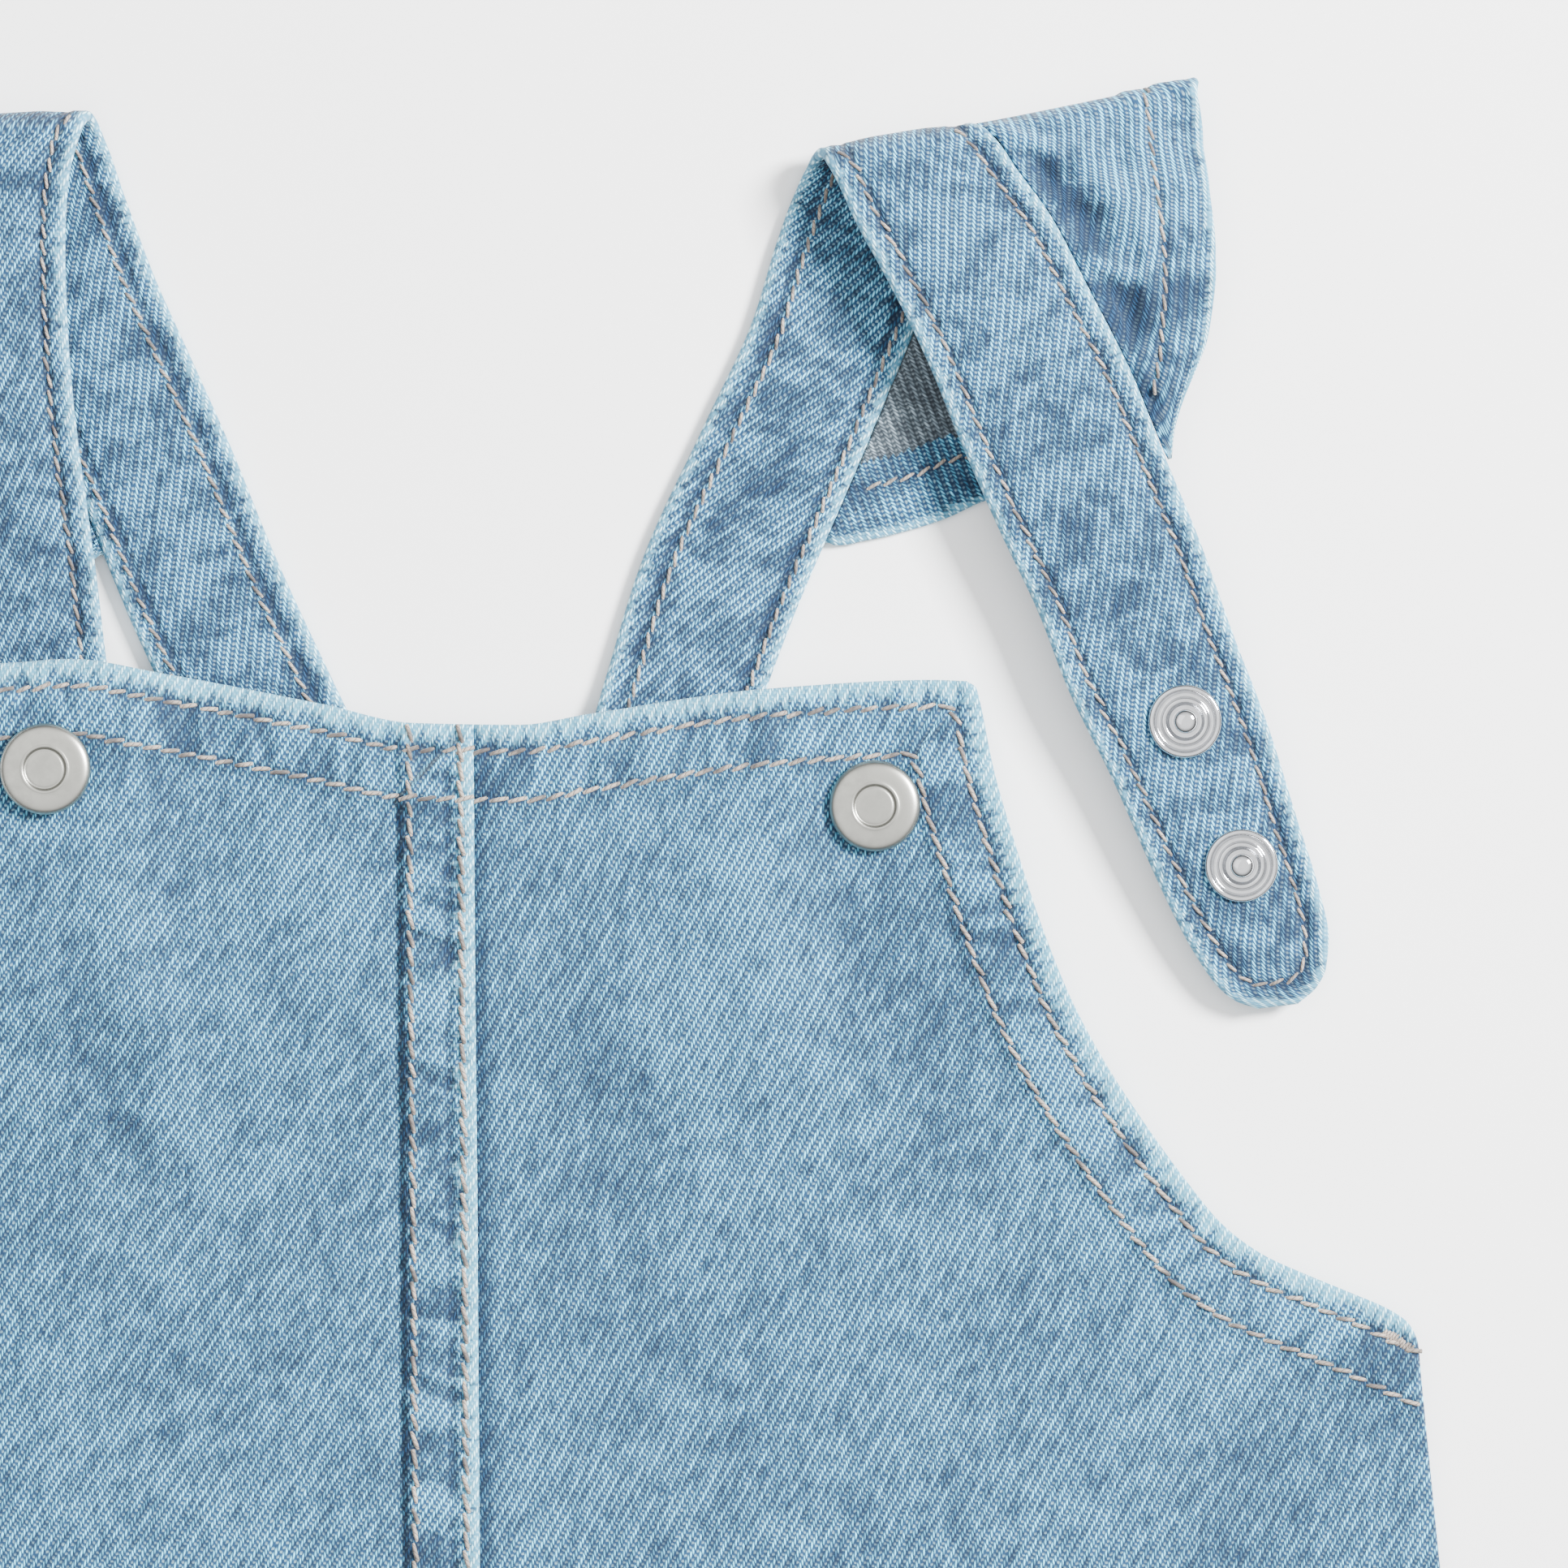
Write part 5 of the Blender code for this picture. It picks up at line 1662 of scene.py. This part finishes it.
    def rows(self) -> list[Points]:
        """Return the hem's row of stitches on both faces."""
        found = []
        for first, last, rise in ((4.3, 8.7, 0.0), (8.75, 14.3, CLOTH)):
            row = np.linspace(first, last, 200)
            _, width, _ = self.surface(row, row * 0.0)
            kept = row[width > 10.0]
            across = 1.0 - 8.5 / width[width > 10.0]
            points, _, outward = self.surface(kept, across)
            found.append(points + outward * rise)
        return found

    def build(self) -> None:
        """Make the frill and its stitches, and attach them to the dress."""
        cloth = self.grid()
        obj = cloth.build(Finish.FRILL.value, Finish.INSIDE.value, 12.6)
        sewn = self.stitches.sew("stitches_" + self.name, obj, self.rows(), FINE_SEWING)
        hand_in(obj, "strap_denim", self.name)
        hand_in(sewn, "strap_denim")
        area = cloth.area()


@dataclass(frozen=True)
class Turned:
    """A turned metal piece: radius and height of its profile from top to bottom, in millimetres."""

    profile: tuple[tuple[float, float], ...]
    finish: Finish
    slot: str
    steps: int = 72

    def build(self, name: str, point: Vector, direction: Vector) -> bpy.types.Object:
        """Make the piece.

        Args:
            name: The piece's name and that of the node that it replaces.
            point: Its foot's middle, in millimetres.
            direction: Where its axis points.

        Returns:
            The piece.
        """
        mesh = bpy.data.meshes.new(name)
        verts, faces = [(0.0, 0.0, self.profile[0][1])], []
        rings = self.profile[1:-1]
        for radius, height in rings:
            for step in range(self.steps):
                angle = 2.0 * math.pi * step / self.steps
                verts.append((radius * math.cos(angle), radius * math.sin(angle), height))
        verts.append((0.0, 0.0, self.profile[-1][1]))
        last = len(verts) - 1
        for step in range(self.steps):
            after = (step + 1) % self.steps
            faces.append((0, 1 + step, 1 + after))
            for ring in range(len(rings) - 1):
                a, b = 1 + ring * self.steps, 1 + (ring + 1) * self.steps
                faces.append((a + step, b + step, b + after, a + after))
            foot = 1 + (len(rings) - 1) * self.steps
            faces.append((foot + step, last, foot + after))
        turn = Vector((0.0, 0.0, 1.0)).rotation_difference(direction).to_matrix()
        base = world(np.array(point))
        placed = [turn @ (Vector(vert) * MM) + Vector(base) for vert in verts]
        mesh.from_pydata(placed, [], faces)
        mesh.materials.append(self.finish.value.material())
        mesh.shade_smooth()
        mesh.set_sharp_from_angle(angle=math.radians(50.0))
        obj = bpy.data.objects.new(name + "_piece", mesh)
        bpy.context.scene.collection.objects.link(obj)
        return hand_in(obj, self.slot, name)


def softened(profile: Sequence[tuple[float, float]], rounds: int = 2) -> tuple[tuple[float, float], ...]:
    """Cut a profile's corners, and keep its first and last point."""
    points = list(profile)
    for _ in range(rounds):
        cut = [points[0]]
        for (r0, h0), (r1, h1) in zip(points, points[1:]):
            cut.append((0.75 * r0 + 0.25 * r1, 0.75 * h0 + 0.25 * h1))
            cut.append((0.25 * r0 + 0.75 * r1, 0.25 * h0 + 0.75 * h1))
        points = cut + [points[-1]]
    points[1] = (points[1][0], points[0][1])
    return tuple(points)


CAP = Turned(softened((
    (0.0, 1.78), (2.75, 1.78), (3.0, 1.66), (3.2, 1.72), (3.45, 2.04), (3.75, 2.12), (4.0, 2.0),
    (5.2, 1.94), (6.3, 1.78), (6.9, 1.45), (7.25, 0.95), (7.3, 0.6), (7.0, 0.25), (5.9, 0.0),
    (0.0, 0.0),
)), Finish.NICKEL, "cap_nickel", 96)
STUD = Turned(softened((
    (0.0, 2.42), (1.0, 2.36), (1.75, 1.95), (2.02, 1.4), (1.85, 0.95), (1.6, 0.45), (2.1, 0.3),
    (2.75, 0.34), (3.0, 0.72), (3.4, 0.86), (3.75, 0.72), (3.95, 0.3), (4.5, 0.26), (4.8, 0.58),
    (5.25, 0.92), (5.7, 0.75), (5.95, 0.35), (5.7, 0.05), (5.2, 0.0), (0.0, 0.0),
)), Finish.STEEL, "stud_steel", 80)
SOCKET = Turned(softened((
    (0.0, 2.0), (5.4, 2.0), (5.95, 1.7), (5.9, 1.1), (5.0, 0.5), (4.0, 0.05), (3.0, 0.0),
    (2.4, 0.1), (2.3, 0.5), (2.3, 1.7), (0.0, 1.75),
), 1), Finish.STEEL, "stud_steel", 48)
DISC = Turned(softened((
    (0.0, 0.0), (4.6, 0.0), (5.0, -0.3), (4.7, -0.8), (3.6, -1.0), (0.0, -1.0),
), 1), Finish.NICKEL, "cap_nickel", 48)


@dataclass
class PressStuds:
    """The caps and sockets on the bib, and the studs with their discs on the straps."""

    left: StrapForm
    right: StrapForm

    def snap(self, side: str, snap: Snap) -> None:
        """Set a cap on the bib's face and a socket under it."""
        up = Vector((0.0, 0.0, 1.0))
        cap_low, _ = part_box(f"snap_cap_{side}")
        socket_low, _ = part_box(f"socket_{side}")
        CAP.build(f"snap_cap_{side}", Vector((snap.x, snap.y, cap_low.z / MM - 0.12)), up)
        SOCKET.build(f"socket_{side}", Vector((snap.x, snap.y, socket_low.z / MM)), up)

    def stud(self, name: str, strap: StrapForm, snap: Snap) -> None:
        """Set a stud on a strap's outer face and its disc on the inner face."""
        places = np.arange(strap.along(12.0), strap.lengths[-1], 0.25)
        middles = strap.point(places, places * 0.0 + 0.5)
        best = places[np.hypot(middles[:, 0] - snap.x, middles[:, 1] - snap.y).argmin()]
        length, half = np.array([best]), np.array([0.5])
        outward = Vector(strap.outward(length, half)[0])
        inner = Vector((snap.x, snap.y, strap.point(length, half)[0][2]))
        STUD.build(f"stud_{name}", inner + outward * (STRAP_WALL + 0.22), outward)
        DISC.build(f"stud_back_{name}", inner - outward * SEAM_GAP, outward)

    def build(self) -> None:
        """Set all the press studs."""
        self.snap("left", SNAP_LEFT)
        self.snap("right", SNAP_RIGHT)
        self.stud("left_upper", self.left, SNAP_LEFT)
        self.stud("left_lower", self.left, STUD_LEFT_LOWER)
        self.stud("right_upper", self.right, STUD_RIGHT_UPPER)
        self.stud("right_lower", self.right, STUD_RIGHT_LOWER)


KEY_PLACE, KEY_SIZE, KEY_POWER = Vector((1.35, 0.75, 1.1)), 0.5, 180.0
FILL_PLACE, FILL_SIZE, FILL_POWER = Vector((-0.9, 0.6, 1.8)), 2.0, 10.0
BIB_MIDDLE = Vector((0.05, 0.15, 0.0))
SKY_LOW, SKY_HIGH = 0.15, 2.2
PAPER_DARK, PAPER_LIGHT = (0.87, 0.87, 0.87, 1.0), (0.89, 0.89, 0.89, 1.0)


@dataclass
class Studio:
    """A pale floor, soft light from the upper right, and a camera straight above."""

    pixel: float = 0.13
    image: float = 1932.0
    lens: float = 200.0
    sensor: float = 36.0
    centre_front: tuple[float, float] = (540.0, 893.0)
    floor_size: float = 3.0

    def camera(self) -> None:
        """Look straight down at what the photograph frames."""
        x = (self.image / 2 - self.centre_front[0]) * self.pixel
        y = (self.centre_front[1] - self.image / 2) * self.pixel
        height = self.pixel * self.image * self.lens / self.sensor + 3.0
        data = bpy.data.cameras.new("camera")
        data.lens, data.sensor_width = self.lens, self.sensor
        data.clip_start, data.clip_end = 0.05, 20.0
        data.dof.use_dof = False
        made = bpy.data.objects.new("camera", data)
        bpy.context.scene.collection.objects.link(made)
        made.location = Vector(world(np.array((x, y, height))))
        bpy.context.scene.camera = made

    def floor(self) -> None:
        """Lay the floor under the dress."""
        mesh = bpy.data.meshes.new("floor")
        half = self.floor_size / 2
        corners = [(-half, -half), (half, -half), (half, half), (-half, half)]
        mesh.from_pydata([(x, y, -0.3 * MM) for x, y in corners], [], [(0, 1, 2, 3)])
        made = bpy.data.materials.new("floor_paper")
        made.use_nodes = True
        g = Graph(made.node_tree)
        shader = made.node_tree.nodes["Principled BSDF"]
        place = g.node("ShaderNodeTexCoord").outputs["Object"]
        grain = g.noise(place, 900.0, 2.0)
        g.put(shader.inputs["Base Color"], g.mix(grain, PAPER_DARK, PAPER_LIGHT))
        shader.inputs["Roughness"].default_value = 0.9
        shader.inputs["Specular IOR Level"].default_value = 0.1
        mesh.materials.append(made)
        obj = bpy.data.objects.new("floor", mesh)
        bpy.context.scene.collection.objects.link(obj)

    def light(self, name: str, place: Vector, size: float, power: float) -> None:
        """Hang a square lamp that faces the bib.

        Args:
            name: The lamp's name.
            place: Where it hangs, in metres.
            size: The length of its side.
            power: Its power in watts.
        """
        data = bpy.data.lights.new(name, "AREA")
        data.size, data.energy = size, power
        made = bpy.data.objects.new(name, data)
        bpy.context.scene.collection.objects.link(made)
        turn = (place - BIB_MIDDLE).to_track_quat("Z", "Y").to_matrix().to_4x4()
        made.matrix_world = Matrix.Translation(place) @ turn

    def build(self) -> None:
        """Set up the floor, the lights and the camera."""
        self.floor()
        self.light("key", KEY_PLACE, KEY_SIZE, KEY_POWER)
        self.light("fill", FILL_PLACE, FILL_SIZE, FILL_POWER)
        sky = bpy.data.worlds.new("studio")
        sky.use_nodes = True
        g = Graph(sky.node_tree)
        up = g.parts(g.node("ShaderNodeTexCoord").outputs["Generated"])[2]
        back = sky.node_tree.nodes["Background"]
        back.inputs["Color"].default_value = (1.0, 1.0, 1.0, 1.0)
        g.put(back.inputs["Strength"], g.step(up, 0.2, 0.9, SKY_LOW, SKY_HIGH))
        bpy.context.scene.world = sky
        self.camera()


def main() -> None:
    """Build the dress piece by piece, then the studio."""
    logging.basicConfig(level=logging.INFO, format="%(message)s")
    left, right = StrapForm(STRAP_LEFT, -1.0), StrapForm(STRAP_RIGHT, 1.0)
    BackPanel().build()
    FrontHalf("front_left", -1.0, weave_turn=-4.0).build()
    FrontHalf("front_right", 1.0, weave_turn=1.0).build()
    ShoulderStrap("strap_left", left, 21).build()
    ShoulderStrap("strap_right", right, 22).build()
    ShoulderFrill("frill_left", left, 31).build()
    ShoulderFrill("frill_right", right, 32).build()
    PressStuds(left, right).build()
    Studio().build()


if __name__ == "__main__":
    main()
